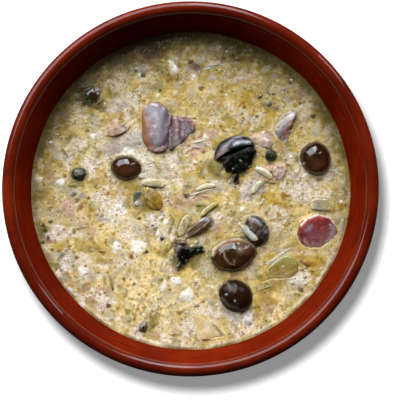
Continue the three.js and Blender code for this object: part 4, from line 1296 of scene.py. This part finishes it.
# %% Colouring the map
mottle = waves(MAP_X, MAP_Y, 13, 11) + 0.9 * waves(MAP_X, MAP_Y, 5, 12)
foam = (1.2 * waves(MAP_X, MAP_Y, 13, 13) + 0.8 * waves(MAP_X, MAP_Y, 5, 14)
        + 0.5 * waves(MAP_X, MAP_Y, 2.2, 15))
green = waves(MAP_X, MAP_Y, 12, 16) + 0.9 * waves(MAP_X, MAP_Y, 4, 17)
colour_map = np.zeros(MAP_X.shape + (3,)) + TONES["broth"][0]
for tone, share, field, low in (("gold", 0.5, mottle, 0.2), ("cream", 0.6, -mottle, 0.2),
                                ("olive", 0.45, green, 0.5), ("froth", 0.55, foam, 0.2)):
    colour_map = blend(colour_map, TONES[tone][0], share * smooth_step(field, low, low + 0.9))
froth_map[:] = 0.36 + 0.54 * smooth_step(foam, -0.5, 1.3)
for tone, patches in PATCHES.items():
    for x, y, radius, share in patches:
        distance = np.hypot(MAP_X - x, MAP_Y - y) / (radius * (1 + 0.18 * foam + 0.12 * mottle))
        weight = share * (1 - smooth_step(distance, 0.45, 1.15))
        colour_map = blend(colour_map, TONES[tone][0], weight)
        froth_map = np.clip(froth_map + TONES[tone][1] * weight, 0, 1)

near_side = np.clip(0.5 - (0.45 * MAP_X + 0.9 * MAP_Y) / 130, 0, 1)[..., None]
far_tint, near_gain = np.array([0.965, 0.90, 0.75]), np.array([0.38, 0.43, 0.78])
colour_map = colour_map ** 1.2 * (far_tint + near_gain * near_side)
height_map += 0.16 * waves(MAP_X, MAP_Y, 17, 21) + 0.06 * waves(MAP_X, MAP_Y, 6, 22)
height_map += 0.035 * waves(MAP_X, MAP_Y, 2.4, 23) * (0.4 + froth_map)
print("broth map", MAP_X.shape)

# %% [markdown]
# ## The shore of the pieces
# Broth climbs a little where a piece stands out of it, and its colour changes there: fat and
# dark juice gather round olives and mushrooms, and a paler one round meat. To find the shore,
# the points of a piece are dropped on the map, the gaps between them are closed and the
# result is softened.

# %% Shores and halos
# piece, tone of the halo, how wide in mm, share
HALOS = read_rows("""
olive_1 deep 3 .85, olive_2 olive 2 .7, olive_3 grey 2.6 .6, olive_4 olive 2 .75,
olive_5 deep 2 .6, olive_bit deep 1.4 .5, caper_1 olive 2 .8, caper_2 olive 1.8 .7,
mushroom_hood olive 1.8 .6, mushroom_gills deep 2.8 .8, mushroom_wedge deep 2.6 .8,
mushroom_slice olive 2.2 .8, mushroom_scrap deep 2.4 .8, mushroom_cap grey 2.2 .6,
meat_fold gold 2 .5, meat_pleats grey 2.4 .7, meat_scrap gold 1.8 .6, sausage_round cream 1.8 .7,
ham_curl gold 2 .5, ham_cube gold 2.2 .6, ham_fold pink 2.6 .7, pickle_half gold 3 .7,
pickle_wedge gold 3 .8, pickle_chip gold 2.8 .9, pickle_sliver olive 1.8 .6,
pickle_heart gold 1.8 .7, onion_white pink 2.2 .6, onion_fan olive 2 .6, onion_half grey 1.8 .6,
onion_arc pink 2.2 .6""")

# %% From points to a shore
def softened(field, reach):
    """Running mean over reach mm, three times each way, which comes close to a bell curve."""
    half = max(1, round(reach / MAP_PITCH / 2))
    for axis in (0, 1) * 3:
        rolled = (np.roll(field, step, axis) for step in range(-half, half + 1))
        field = sum(rolled) / (2 * half + 1)
    return field


def footprint(names):
    """1 where the named pieces stand out of the soup and 0 elsewhere."""
    cover = np.zeros_like(MAP_X)
    points = np.vstack([AFLOAT[name] for name in names])
    points = points[points[:, 2] > SOUP_LEVEL + 0.1]
    column, row = (np.round((points[:, k] + MAP_REACH) / MAP_PITCH).astype(int) for k in (0, 1))
    cover[row, column] = 1
    for most in (np.maximum, np.maximum, np.maximum, np.minimum, np.minimum):
        cover = most.reduce([np.roll(cover, step, axis) for axis in (0, 1) for step in (-1, 0, 1)])
    return cover


for name, tone, width, share in HALOS:
    near = softened(footprint([name]), width) * (1 + 0.35 * foam)
    colour_map = blend(colour_map, TONES[tone][0], share * smooth_step(near, 0.03, 0.5))
shore = softened(footprint(AFLOAT), 1.4)
inside = smooth_step(shore, 0.62, 0.9)
height_map = (height_map + 0.5 * shore) * (1 - inside) - 0.4 * inside

# %% [markdown]
# ## Where there is room
# Random bits stay clear of the pieces of food, because those have meshes of their own.

# %% Spots clear of the food
OVALS = np.array([(*(points.max(0) + points.min(0))[:2] / 2, *np.ptp(points, axis=0)[:2] / 2)
                  for points in AFLOAT.values()])


def spots(count, draw, margin=0.6, inset=1.5):
    """Random spots spread evenly over the soup, less those in an oval round a piece of food."""
    radius = (SOUP_RADIUS - inset) * np.sqrt(draw.random(count))
    angle = draw.uniform(0, TURN, count)
    x, y = radius * np.cos(angle), radius * np.sin(angle)
    across = (x[:, None] - OVALS[:, 0]) / (OVALS[:, 2] + margin)
    along = (y[:, None] - OVALS[:, 1]) / (OVALS[:, 3] + margin)
    keep = (across ** 2 + along ** 2 > 0.92).all(axis=1)
    return x[keep], y[keep]

# %% [markdown]
# ## What shows through
# Chopped onion, potato and fat hang just below the surface. They are colour alone, with soft
# edges: pale, golden, olive or brown. Fat drops are round and clear, so they look darker and
# warmer than the broth. The draws are seeded, so the same bits come back each time.

# %% Sunk bits
# name: colour, colour of the middle, how many, shortest and longest, width per length, cover,
# edge. A bit with a middle of its own is clear, with a paler outline.
SUNK = {
    "clear onion": ((0.78, 0.70, 0.50), (0.46, 0.36, 0.12), 170, 2.5, 9.0, 0.5, 0.70, 0.35),
    "onion": ((0.74, 0.65, 0.42), None, 170, 1.6, 6.0, 0.5, 0.60, 0.4),
    "shade": ((0.22, 0.175, 0.035), None, 230, 1.8, 8.0, 0.5, 0.55, 0.55),
    "meat": ((0.34, 0.20, 0.16), (0.52, 0.35, 0.25), 90, 1.8, 6.5, 0.6, 0.70, 0.4),
    "drops": ((0.37, 0.235, 0.020), None, 640, 0.8, 2.7, 0.8, 0.8, 0.4),
    "amber": ((0.31, 0.115, 0.010), None, 150, 0.9, 2.8, 0.7, 0.85, 0.35),
    "dill": ((0.16, 0.135, 0.018), None, 680, 0.7, 2.4, 0.55, 0.75, 0.45),
    "curd": ((0.94, 0.89, 0.78), None, 330, 0.6, 2.2, 0.8, 0.8, 0.5)}
OUTLINE = 0.9

draw = np.random.default_rng(100)
for colour, middle, count, shortest, longest, narrow, cover, edge in SUNK.values():
    for x, y in zip(*spots(count, draw)):
        size = shortest + (longest - shortest) * draw.random() ** 2
        width, turn = size * narrow * draw.uniform(0.7, 1.3), draw.uniform(0, TURN)
        shade, share = draw.uniform(0.85, 1.12), cover * draw.uniform(0.5, 1)
        stamp(x, y, size, width, turn, 0.05, np.array(colour) * shade, share, edge)
        if middle:
            stamp(x + 0.1, y - 0.2, size - OUTLINE, max(width - OUTLINE, 0.6), turn, -0.05,
                  np.array(middle) * shade, share, edge)
print("sunk bits drawn:", sum(bits[2] for bits in SUNK.values()))

# %% [markdown]
# ## Small bits at the surface
# Four small forms make all the chopped bits: a flat chip (onion, pickle), a bent sliver, a
# crumb (potato, meat) and a drop (a bubble). Curds, spots of fat and herb, and soft films of
# onion are part of the skin: colour and a low swelling. Those that can be told apart in the
# bowl are placed one by one. The rest are drawn at random where there is room. Round each the
# broth climbs and takes a little of its colour, so it lies in the soup and not on it. The
# meshes follow once the soup has its skin.

# %% Where the bits lie
BIT_COLOURS = {name: rgb for name, *rgb in read_rows("""
white 1 .97 .9, cream .78 .66 .4, pale .66 .6 .44, rose .6 .38 .27, pink .6 .42 .34,
lilac .44 .38 .38, gold .44 .27 .03, amber .3 .12 .01, tan .46 .32 .12, olive .26 .215 .045,
green .2 .21 .05, brown .15 .075 .022, dark .05 .042 .014, black .01 .009 .006, teal .08 .095 .07,
purple .17 .11 .09, glass .52 .48 .36""")}

# kind and colour: x, y, length and width in mm, and the turn in degrees if there is one
PLACED = read_tables("""
film olive: -18 -65 9 4 70, -16 51 8 6 -20, 18 36 6 4, 10 11 4 7 10, -15 61 4 7, -6 67 6 4 60,
-38 47 7 4, -28 58 4 4, -60 25 2 5, -31 -7 4 6, -66 -37 7 3 -10, -19 -64 3 7 20, -42 -44 2 6 12,
65 -12 4 3, 62 23 3 6, 34 -43 7 3 -30, -3 -19 7 18 -12, 6 -9 8 5 -30;
film pink: 23 54 5 3 20, -60 -9 7 7 60, 7 -37 3 2, -38 27 5 2.5 -10, 41 9 5 4, 23 54 6 3 25,
40 8 12 9 20;
film tan: -73 -2 7 5 10, -27 -12 4 4, -61 -43 6 5, 38 -47 12 7 20, 34 19 5 3, 27 62 4 3,
16 51 6 3 10, -7 46 4 2.5, -62 25 4 11 -10, -71 0 3 8, -46 5 6 3 40, -51 -29 8 4 -20,
-42 -35 9 3 -15, -49 -55 8 3 -40, 12 -28 7 4, 52 45 5 2.5 -30, 35 2 4 3;
film rose: -1 -6 5 3 20, 36 24 7 3 20, 43 9 7 4 -20, -39 31 7 4 20, 10 28 4 4, 44 26 4 7 -40,
35 5 7 4 -10, -16 72 6 4 20, 30 56 6 2.5 30, -69 9 3 7 8, -39 -43 5 3 10, 44 8 6 4, 2 -3 13 7 20;
film lilac: 11 56 4 4, 5 22 9 4 20, 36 25 7 4 20, -24 59 6 4, 11 62 6 3 20, -35 64 7 4 30,
-33 42 6 4, -53 -3 4 3, 27 -3 6 4, 46 49 4 3, 32 1 8 10 60, -36 21 15 8, -27 24 11 9;
film purple: 3 61 5 3 -60, -18 71 5 6, -22 69 8 6 40, 30 65 4 4, 2 61 5 4 -30, 39 13 3 2.5;
film glass: 18 -60 8 4 -40, 23 -63 5 4 20, 51 -47 5 4, 32 7 5 3 -30, 5 65 6 5, 11 55 5 3 20,
-47 34 4 7, -66 20 4 12 10, -36 7 6 3 -30, -62 -44 6 4, 56 35 5 3 30, 27 -25 4 3, 12 -67 7 3,
-31 -63 5 3, 10 1 15 6 10, -20 7 17 6, 0 -11 11 3 -20, 46 -32 13 4 -35, 64 -8 11 6;
film white: 53 -43 5 4 20, 50 -44 4 3, -8 60 6 2.5 -50, 22 -60 6 2.5 -40, -20 4 7 3, -31 19 7 4;
film pale: 42 27 4 2.5 -20;
film amber: -34 33 4 4 60, 27 -44 2.5 2;
film gold: 46 -8 6 3 -20, 69 -10 4 4, 65 34 3 5 10, 38 -54 9 4 -20, 54 -33 5 3;
film cream: -5 -69 7 3 10;
film brown: -20 -6 13 8 30;
spot brown: 5.1 50 3 2.5 30, 54 42.6 2 1.5, -39.9 -56.7 3 2.5, -32.5 -43.8 2 2, 26.3 40.7 2.5 2;
spot dark: 32.7 36.2 2 1.5, 60.4 36.2 3 2.5, -23.6 56.5 3 2.5, -27 58.9 2 1.5, -15.2 49.1 1.5 1.5,
54 -49.3 2.5 2.5, -25.1 -14.2 2.5 1.5, -18.6 -17.6 2 1, -27.5 -46.3 2 1.5, -72 -17.6 2 2,
-71 -20.1 2.5 2, -69.5 -23.6 2 2, -72 -26 2.5 2, -67.6 -29.5 2 1.5, 16.9 69.3 2.5 2.5,
20.4 66.8 3 2.5, 23.3 64.4 2.5 2, 16.4 65.4 3 2, 33.7 62.9 2 1.5, 49 53 2 1.5, 40.6 47.1 1.5 1.5,
-55.7 44.6 2 2, -52.7 42.1 2 2, -49.3 41.6 2.5 1.5, -45.3 42.6 2 1.5, -54.2 49.1 3 3, 18.4 9 2.5 2,
11.5 19.9 1.5 1.5;
spot amber: 14.9 31.3 2.5 2, -29 -32.9 2.5 2.5 -50, -55.7 -33.4 2.5 2, -64.1 -30 3 1.5,
-5.3 -60.1 3 2 10, -8.3 -71 3 1.5, -53.7 -8.2 4 2.5 80, 45.6 -2.8 4 3, 47.5 12 3 2,
-72 2.6 3 1.5 -70, 54 -35.4 2.5 2, 54.5 -39.4 2 1.5;
spot gold: -48.3 -24.1 3 2, -38.9 -34.4 2.5 1.5 -20, -18.2 -40.4 2.5 2, -21.6 -51.2 2 2,
-25.1 -51.2 2 1.5, -50.8 -6.3 2.5 1.5 80, -48.8 -10.2 3 2.5, -49.8 -12.7 2.5 2, 27.8 46.1 2.5 2.5,
41.6 -6.3 3 3, 35.2 -3.3 3 2.5, 73.2 -7.8 4 4;
spot olive: -30.5 -59.6 4 3 30, -39.9 48.6 2 2, -50.8 29.3 2.5 2.5, -59.2 25.8 2 4, -48.3 37.2 2 2,
-44.3 38.7 2 1.5, 36.7 3.6 3 2, -73 19.9 2.5 4;
spot purple: -57.2 -2.3 3 2.5, -55.7 -5.3 3 2.5 40;
spot green: 8.5 3.6 2.5 1.5;
curd white: -25.6 -28 7 6 -20, -35.9 -28 4 4 10, -52.2 -39.9 5 4 -30, -1.4 -51.7 6 6 40,
-13.2 -47.3 5 2.5 70, -7.3 -44.8 5 3 -15, -9.3 61.4 7 3 -50, -48.3 26.3 2.5 2.5,
-58.7 -49.3 2.5 2.5 20, -55.7 -51.7 2.5 2, -53.2 -56.7 4 2.6 40, -63.6 3.6 4 3, -16.2 -21.6 2 1.5,
-12.2 -15.7 2.5 2 30, 7 26.3 2 2, -35 -8.7 2.5 2, 25.3 -9.7 2 2, 29.3 -28 1.5 1.5,
-73.5 5.1 2.5 1.5;
crumb cream: -9.8 60.9 2 2, 2.6 13 2.5 2, 31.7 -30.5 1.5 1.5;
chip pale: -22.6 6.6 7 2.5 8;
chip brown: -1.9 -2.8 3 3, .1 63.4 3 2.5;
chip teal: -25.6 -3.3 7 4 70;
chip glass: -25.6 -6.8 4 2.5 20, 10.5 61.4 8 1.2 12, 43.1 -32.9 10 2 40, 73.7 -19.6 12 2.5 82,
35.2 -6.3 4 1.5 60, 27.8 -65.1 4 3;
chip green: 5.1 -7.8 6 1.5;
chip tan: -4.8 -26 7 2.5 2;
sliver black: 34.2 46.1 3 1.5 30;
sliver brown: -43.3 -30.5 4 1.5 -5;
sliver olive: -17.7 -19.6 4 2.5 60, -38.4 -45.8 7 1.5 -78, -56.7 2.1 6 2.5 8, -9.3 -17.1 8 1.2 68;
sliver tan: -46.8 -54.2 7 1.5 -42, -15.2 -60.6 6 1.5 -30, -71.5 9.5 9 2 80, -69 13.5 11 2.5 78,
39.1 3.6 5 2 -10;
sliver amber: 8 -73 6 1 3, -6.8 55.5 4 1.5 80, 57.9 -36.4 7 2.5 -8;
sliver gold: 24.3 42.6 7 2.5 58, -12.7 62.9 6 2 -40, -5.3 62.4 5 1.5 -70, 15.4 20.4 4 2.5 20;
sliver rose: -10.3 6.1 7 1.7 10, 4.6 20.4 8 1.2 -12, 7 -3.3 7 1.1 -8;
sliver pale: 3.1 23.4 11 1.2 14, -.4 19.9 7 1.1 30, 8.5 21.9 5 1 -40, -2.3 18.4 5 1 60,
3.6 -1.8 8 1.2 20, .6 -4.3 7 1.1 40, 8.5 59.9 6 .9 16, 17.4 15.5 4 1.5 -60;
sliver glass: 48 -29.5 5 1.5 20, 39.1 -35.4 6 1.5 30;
sliver dark: 24.8 9 5 1.7 -50, 27.8 10.5 4 1.5 20;
drop glass: 3.1 -56.2 3 3, 17.9 68.3 2 1.5, 19.4 -55.7 3 2.5, 55.9 -46.3 1.5 1.5,
55.5 -42.8 1.5 1.5, 49.5 -45.8 1.5 1.5, -46.3 49.1 2.5 2.5, -50.8 44.6 2 2, 2.6 -26 2 2,
.6 -28 2 1.5, 4.6 -28 2 2, 37.2 23.4 2.5 2, 33.7 25.3 2 2;
drop black: -13.7 -24.1 2.5 2.5, -21.6 -30.5 2 1.5;
drop teal: 38.7 42.1 3 3 60, -68.5 -15.7 2 1.5""")

# %% Bits drawn at random
BIT_HEIGHT = {"film": 0.8, "spot": 0.9, "curd": 1.6, "crumb": 0.9, "chip": 1.1, "sliver": 0.9,
              "drop": 1.2}

# kind, colour, how many, shortest and longest, width per length, height
SCATTERED = read_rows("""
film pale 130 2.5 8.5 .5 .5, film cream 90 2.5 8 .55 .5, film rose 50 2 6.5 .5 .5,
film purple 26 2 5 .5 .4, film glass 90 2.5 8.5 .5 .5, film lilac 40 2 6 .5 .4,
spot tan 60 2 6 .25 .5, sliver olive 14 2 6 .2 .5, sliver pale 10 2.5 6.5 .2 .6,
spot gold 150 1 2.8 .8 .5, spot amber 70 .9 2.4 .7 .5, spot dark 120 .5 1.1 .8 .4,
spot olive 200 .8 2.2 .7 .5, drop glass 50 .7 1.5 .9 .9, crumb white 60 .7 2 .85 .9,
crumb cream 24 1 2.2 .8 .8""")


def scattered_rows(draw):
    """Random bits, each as its kind, colour, x, y, length, width, height and turn."""
    for kind, colour, count, shortest, longest, narrow, height in SCATTERED:
        x, y = spots(int(count), draw, margin=longest * 0.35, inset=2.5)
        length = shortest + (longest - shortest) * draw.random(len(x)) ** 1.8
        width = length * narrow * draw.uniform(0.75, 1.3, len(x))
        turn = np.degrees(draw.uniform(0, TURN, len(x)))
        for row in zip(x, y, length, width, height * draw.uniform(0.7, 1.2, len(x)), turn):
            yield [kind, colour, *row]

# %% All bits, stamped on the map
BITS = list(scattered_rows(np.random.default_rng(300)))
for name, rows in PLACED.items():
    kind, colour = name.split()
    BITS += [[kind, colour, *row[:4], BIT_HEIGHT[kind], *(row[4:] or [0.0])] for row in rows]
# kind: share of its colour, how far it spreads, how soft its edge is, how calm
MERGED = {"spot": (0.9, 1.0, 0.4, 0.5), "film": (0.75, 1.1, 0.55, 0.6),
          "curd": (1.0, 1.15, 0.35, 1.0), "crumb": (0.85, 1.25, 0.6, 0.7)}
for kind, colour, x, y, length, width, height, turn in BITS:
    share, spread, edge, calm = MERGED.get(kind, (0.65, 1.3, 0.6, 0.3))
    stamp(x, y, length * spread, width * spread + 0.2, math.radians(turn), 0.15 * height,
          BIT_COLOURS[colour], share, edge, calm)
print("bits at the surface:", len(BITS))

# %% [markdown]
# ## The rim of the soup
# Near the wall the broth is shallow and clear of cream, so the brown glaze shows through it: a
# dark olive line all round. It is also painted shade of the wall, which widens into a painted
# shadow at the far side. On the near side cream has dried on.

# %% A dark rim and a painted shadow
from_rim = SOUP_RADIUS - np.hypot(MAP_X, MAP_Y)
around_rim = np.arctan2(MAP_Y, MAP_X)
# painted shade of the wall, widest and darkest at the far side, where the wall stands between the
# window and the soup
far_side = 0.5 + 0.5 * np.cos(around_rim - math.radians(98))
lobes = 3.0 * far_side * np.cos(9 * (around_rim - 1.22))
rim_width = 2.0 + 13.5 * far_side ** 2 + lobes + 1.5 * mottle
rim_share = 1 - smooth_step(from_rim, 0.15 * rim_width, np.maximum(rim_width, 1))
rim_share *= 0.35 + 0.55 * far_side
colour_map = blend(colour_map, (0.075, 0.055, 0.010), rim_share)
froth_map *= 1 - 0.85 * rim_share
dried = smooth_step(-np.sin(around_rim - 0.15), 0.25, 0.7) * (0.6 + 0.4 * np.cos(23 * around_rim))
stain = 0.9 * np.minimum(1.3 * dried, 1) * (1 - smooth_step(from_rim, 0.9, 1.5))
colour_map = blend(colour_map, (0.22, 0.13, 0.05), stain)
dried_share = 0.85 * dried * (1 - smooth_step(np.abs(from_rim - 2.0), 0.3, 0.7))
colour_map = blend(colour_map, (0.84, 0.77, 0.58), dried_share)

# %% [markdown]
# ## One skin for the soup
# A square grid is bent to a disc so that its cells stay alike in size: each square ring of the
# grid becomes a circle. That keeps the mesh fine enough everywhere. The skin then climbs the
# wall a little, and runs down inside the bowl to close the body of soup.

# %% A disc of even cells
SOUP_CELLS = 296
SKIRT_LEVELS = (-1.5, -8.0, -18.0, -28.0)


def disc_grid(cells, radius):
    """x and y of a square grid bent to a disc: the larger of |u| and |v| becomes the radius,
    and the smaller over the larger becomes the angle within an eighth of a turn."""
    side = np.linspace(-1, 1, cells + 1)
    u, v = np.meshgrid(side, side)
    wide = np.abs(u) >= np.abs(v)
    larger = np.where(wide, u, v)
    smaller = np.where(wide, v, u)
    angle = np.where(larger == 0, 0, smaller / np.where(larger == 0, 1, larger)) * math.pi / 4
    x = np.where(wide, larger * np.cos(angle), larger * np.sin(angle))
    y = np.where(wide, larger * np.sin(angle), larger * np.cos(angle))
    return x * radius, y * radius


def read_map(field, x, y):
    """A map's value between its points, by the four nearest."""
    i, j = (x + MAP_REACH) / MAP_PITCH, (y + MAP_REACH) / MAP_PITCH
    i0 = np.clip(i.astype(int), 0, len(MAP_AXIS) - 2)
    j0 = np.clip(j.astype(int), 0, len(MAP_AXIS) - 2)
    a, b = i - i0, j - j0
    if field.ndim == 3:
        a, b = a[..., None], b[..., None]
    return ((1 - a) * (1 - b) * field[j0, i0] + a * (1 - b) * field[j0, i0 + 1]
            + (1 - a) * b * field[j0 + 1, i0] + a * b * field[j0 + 1, i0 + 1])

# %% The skin and the body of soup
def soup_height(x, y):
    """How high the soup's skin stands over its level: the map and the climb at the wall."""
    from_wall = SOUP_RADIUS - np.hypot(x, y)
    angle = np.arctan2(y, x)
    climb = 0.35 + 0.2 * np.cos(7 * angle + 1) + 0.15 * np.cos(17 * angle)
    calm = smooth_step(from_wall, 0.2, 2.5)
    return read_map(height_map, x, y) * (0.25 + 0.75 * calm) + climb * np.exp(-from_wall / 0.9)


def soup_body():
    """Top skin on the disc grid, then rings down the wall and a flat bottom."""
    x, y = disc_grid(SOUP_CELLS, SOUP_RADIUS + 0.15)
    z = SOUP_LEVEL + soup_height(x, y)
    side = SOUP_CELLS + 1
    top = np.stack([x, y, z], -1).reshape(-1, 3)
    index = np.arange(side * side).reshape(side, side)
    quads = np.stack([index[:-1, :-1], index[:-1, 1:], index[1:, 1:], index[1:, :-1]], -1)
    edge = np.concatenate([index[0, :-1], index[:-1, -1], index[-1, :0:-1], index[:0:-1, 0]])
    points, faces = [top], [quads.reshape(-1, 4)]
    ring, start = edge, len(top)
    for drop in SKIRT_LEVELS:
        level = SOUP_LEVEL + drop
        reach = (wall_radius(level) - 0.3) / SOUP_RADIUS
        points.append(np.column_stack([top[edge, :2] * reach, np.full(len(edge), level)]))
        below = start + np.arange(len(edge))
        faces.append(np.stack([ring, below, np.roll(below, -1), np.roll(ring, -1)], -1))
        ring, start = below, start + len(edge)
    points.append(np.array([[0, 0, SOUP_LEVEL + SKIRT_LEVELS[-1]]]))
    faces.append(np.stack([ring, np.full(len(edge), start), np.roll(ring, -1)], -1))
    return np.vstack(points), faces

# %% [markdown]
# ## Broth finish
# Finer than the mesh are the bubbles of the froth: dark pinholes, and bright points that are
# painted highlights on the bubbles, most where the froth is thick. They are cells in the shader,
# which colour the surface and pit it a little. The broth is wet, so it shines softly, and light
# goes a few millimetres into it.

# %% Broth shader
def broth_finish():
    """The map's colour, mottled, with fat drops, painted highlights as bright points, and pinholes
    laid over it.
    """
    broth = Finish("broth", Roughness=0.26, IOR=1.36)
    froth = broth.layer("froth", "Fac")
    colour = broth.layer("broth_colour")
    darker = broth.mix(1.0, colour, (0.82, 0.77, 0.60), blend="MULTIPLY")
    colour = broth.mix(broth.range(broth.noise(1.6, 3, 0.6), 0.36, 0.62), darker, colour)

    def dots(size, inner, outer, first, last, share):
        """Round dots, one to a cell of the size in mm, for cells whose own number is above
        first to last. inner and outer are the radii in cells at which a dot fades."""
        chosen = broth.range(broth.cells(size, "Color"), first, last)
        round_dot = broth.range(broth.cells(size), inner, outer, 1.0, 0.0)
        return broth.sum(broth.sum(round_dot, chosen, "MULTIPLY"), share, "MULTIPLY")

    holes = dots(1.05, 0.12, 0.36, 0.25, 0.40, broth.range(froth, 0.1, 0.9, 0.30, 0.90))
    # painted highlights: near-white points where the window would shine in the froth's bubbles
    lit = dots(0.9, 0.16, 0.42, 0.55, 0.66, broth.range(froth, 0.3, 0.95, 0.05, 0.80))
    colour = broth.mix(dots(2.1, 0.16, 0.36, 0.55, 0.62, 0.5), colour, (0.38, 0.29, 0.040))
    colour = broth.mix(lit, colour, (0.98, 0.93, 0.90))
    colour = broth.mix(holes, colour, (0.13, 0.105, 0.025))
    colour = broth.mix(dots(3.3, 0.08, 0.19, 0.45, 0.50, 0.85), colour, (0.08, 0.066, 0.014))
    broth.set("Base_Color", colour)
    broth.set("Normal", broth.bump(broth.sum(lit, holes, "SUBTRACT"), 0.16, 0.9))
    broth.set("Subsurface_Weight", 0.2)
    broth.set("Subsurface_Radius", (1.0, 0.75, 0.4))
    broth.set("Subsurface_Scale", 1.6 * MM)
    return broth.material

# %% The soup's mesh
points, faces = soup_body()
layers = {"broth_colour": read_map(colour_map, points[:, 0], points[:, 1]),
          "froth": read_map(froth_map, points[:, 0], points[:, 1])}
soup = make_piece("soup_body", points, outward(points, faces), broth_finish(), "broth", "soup",
                  layers)
soup.visible_diffuse = False

# %% [markdown]
# ## Meshes of the small bits
# Each kind is one mesh of many uneven copies at true size. A bit takes the broth's own colour
# where it dips under, so it has no hard edge.

# %% Copies of a small form
def copies(form, place, size, turn, tilt, uneven, draw):
    """Sized, tilted, turned and placed copies of a form of unit size. Three waves of its own
    push a copy's points out or in by the share uneven of their distance from its middle."""
    points, faces = capped(form)
    count = len(place)
    waves_of = draw.normal(size=(count, 3, 3)) * 4.0
    phases = draw.uniform(0, TURN, (count, 1, 3))
    swell = np.cos(np.einsum("pc,nwc->npw", points, waves_of) + phases).sum(-1, keepdims=True)
    body = points * (1 + uneven * swell / 1.7) * size[:, None]
    body = np.einsum("npc,nkc->npk", body, rotation(turn, tilt[0], tilt[1])) + place[:, None]
    step = np.arange(count)[:, None, None] * len(points)
    return body, [(f[None] + step).reshape(-1, f.shape[1]) for f in outward(points, faces)]


CHIP = slab(cut_edge([(0.42, 20), (0.5, 100), (0.45, 190), (0.38, 285)]), 1.0, None, 6, 12)
SLIVER = strip(1.0, 1.0, 1.0, 30, lambda x, y: 0.15 * np.cos(3 * x), 7, 6) * [1, 1, 0.8]
CRUMB = egg(1.0, 1.0, 1.0, 0.1, 5, 9)
DROP = egg(1.0, 1.0, 1.0, 0.0, 5, 9)

chip_flesh = wet_finish("chip_flesh", 0.14, 0.8, 0.85, 0.06, inside=0.3, coat=0.3)
sliver_flesh = wet_finish("sliver_flesh", 0.16, 0.7, 0.8, 0.05, coat=0.3)
crumb_flesh = wet_finish("crumb_flesh", 0.30, 0.8, 0.92, 0.05, inside=0.4)
drop_skin = wet_finish("drop_skin", 0.10, 0.9, 0.75, 0.04, coat=0.5)

# kind: form, finish, slot, share of the height over the soup, how uneven
KINDS = {"chip": (CHIP, chip_flesh, "onion", 0.12, 0.16),
         "sliver": (SLIVER, sliver_flesh, "pickle", 0.12, 0.10),
         "crumb": (CRUMB, crumb_flesh, "broth", 0.16, 0.30),
         "drop": (DROP, drop_skin, "broth", 0.30, 0.10)}


def surface_bits():
    """One mesh for each kind. How far a point stands clear of the soup's skin sets how much of
    the bit's own colour it has."""
    draw = np.random.default_rng(301)
    for kind, (form, finish, slot, over, uneven) in KINDS.items():
        rows = [row for row in BITS if row[0] == kind]
        x, y, length, width, height, turn = np.array([row[2:] for row in rows]).T
        level = SOUP_LEVEL + soup_height(x, y) + (over - 0.5) * height
        place, size = np.column_stack([x, y, level]), np.column_stack([length, width, height])
        tilt = draw.uniform(-6, 6, (2, len(x)))
        body, faces = copies(form, place, size, turn, tilt, uneven, draw)
        clear = body[..., 2] - SOUP_LEVEL - soup_height(body[..., 0], body[..., 1])
        shade = draw.uniform(0.88, 1.14, (len(x), 1))
        colour = np.array([BIT_COLOURS[row[1]] for row in rows]) * shade
        broth = read_map(colour_map, body[..., 0], body[..., 1])
        paint = blend(broth, colour[:, None], 0.2 + 0.7 * smooth_step(clear, -0.05, 0.22))
        make_piece(kind + "s", body.reshape(-1, 3), faces, finish, slot, None,
                   {"paint": np.clip(paint, 0, 1).reshape(-1, 3)})
        print(kind, len(rows), "copies")


surface_bits()

# %% [markdown]
# ## Closing the frame
# The last cell only says that the scene is done.

# %% Done
print("scene dressed")
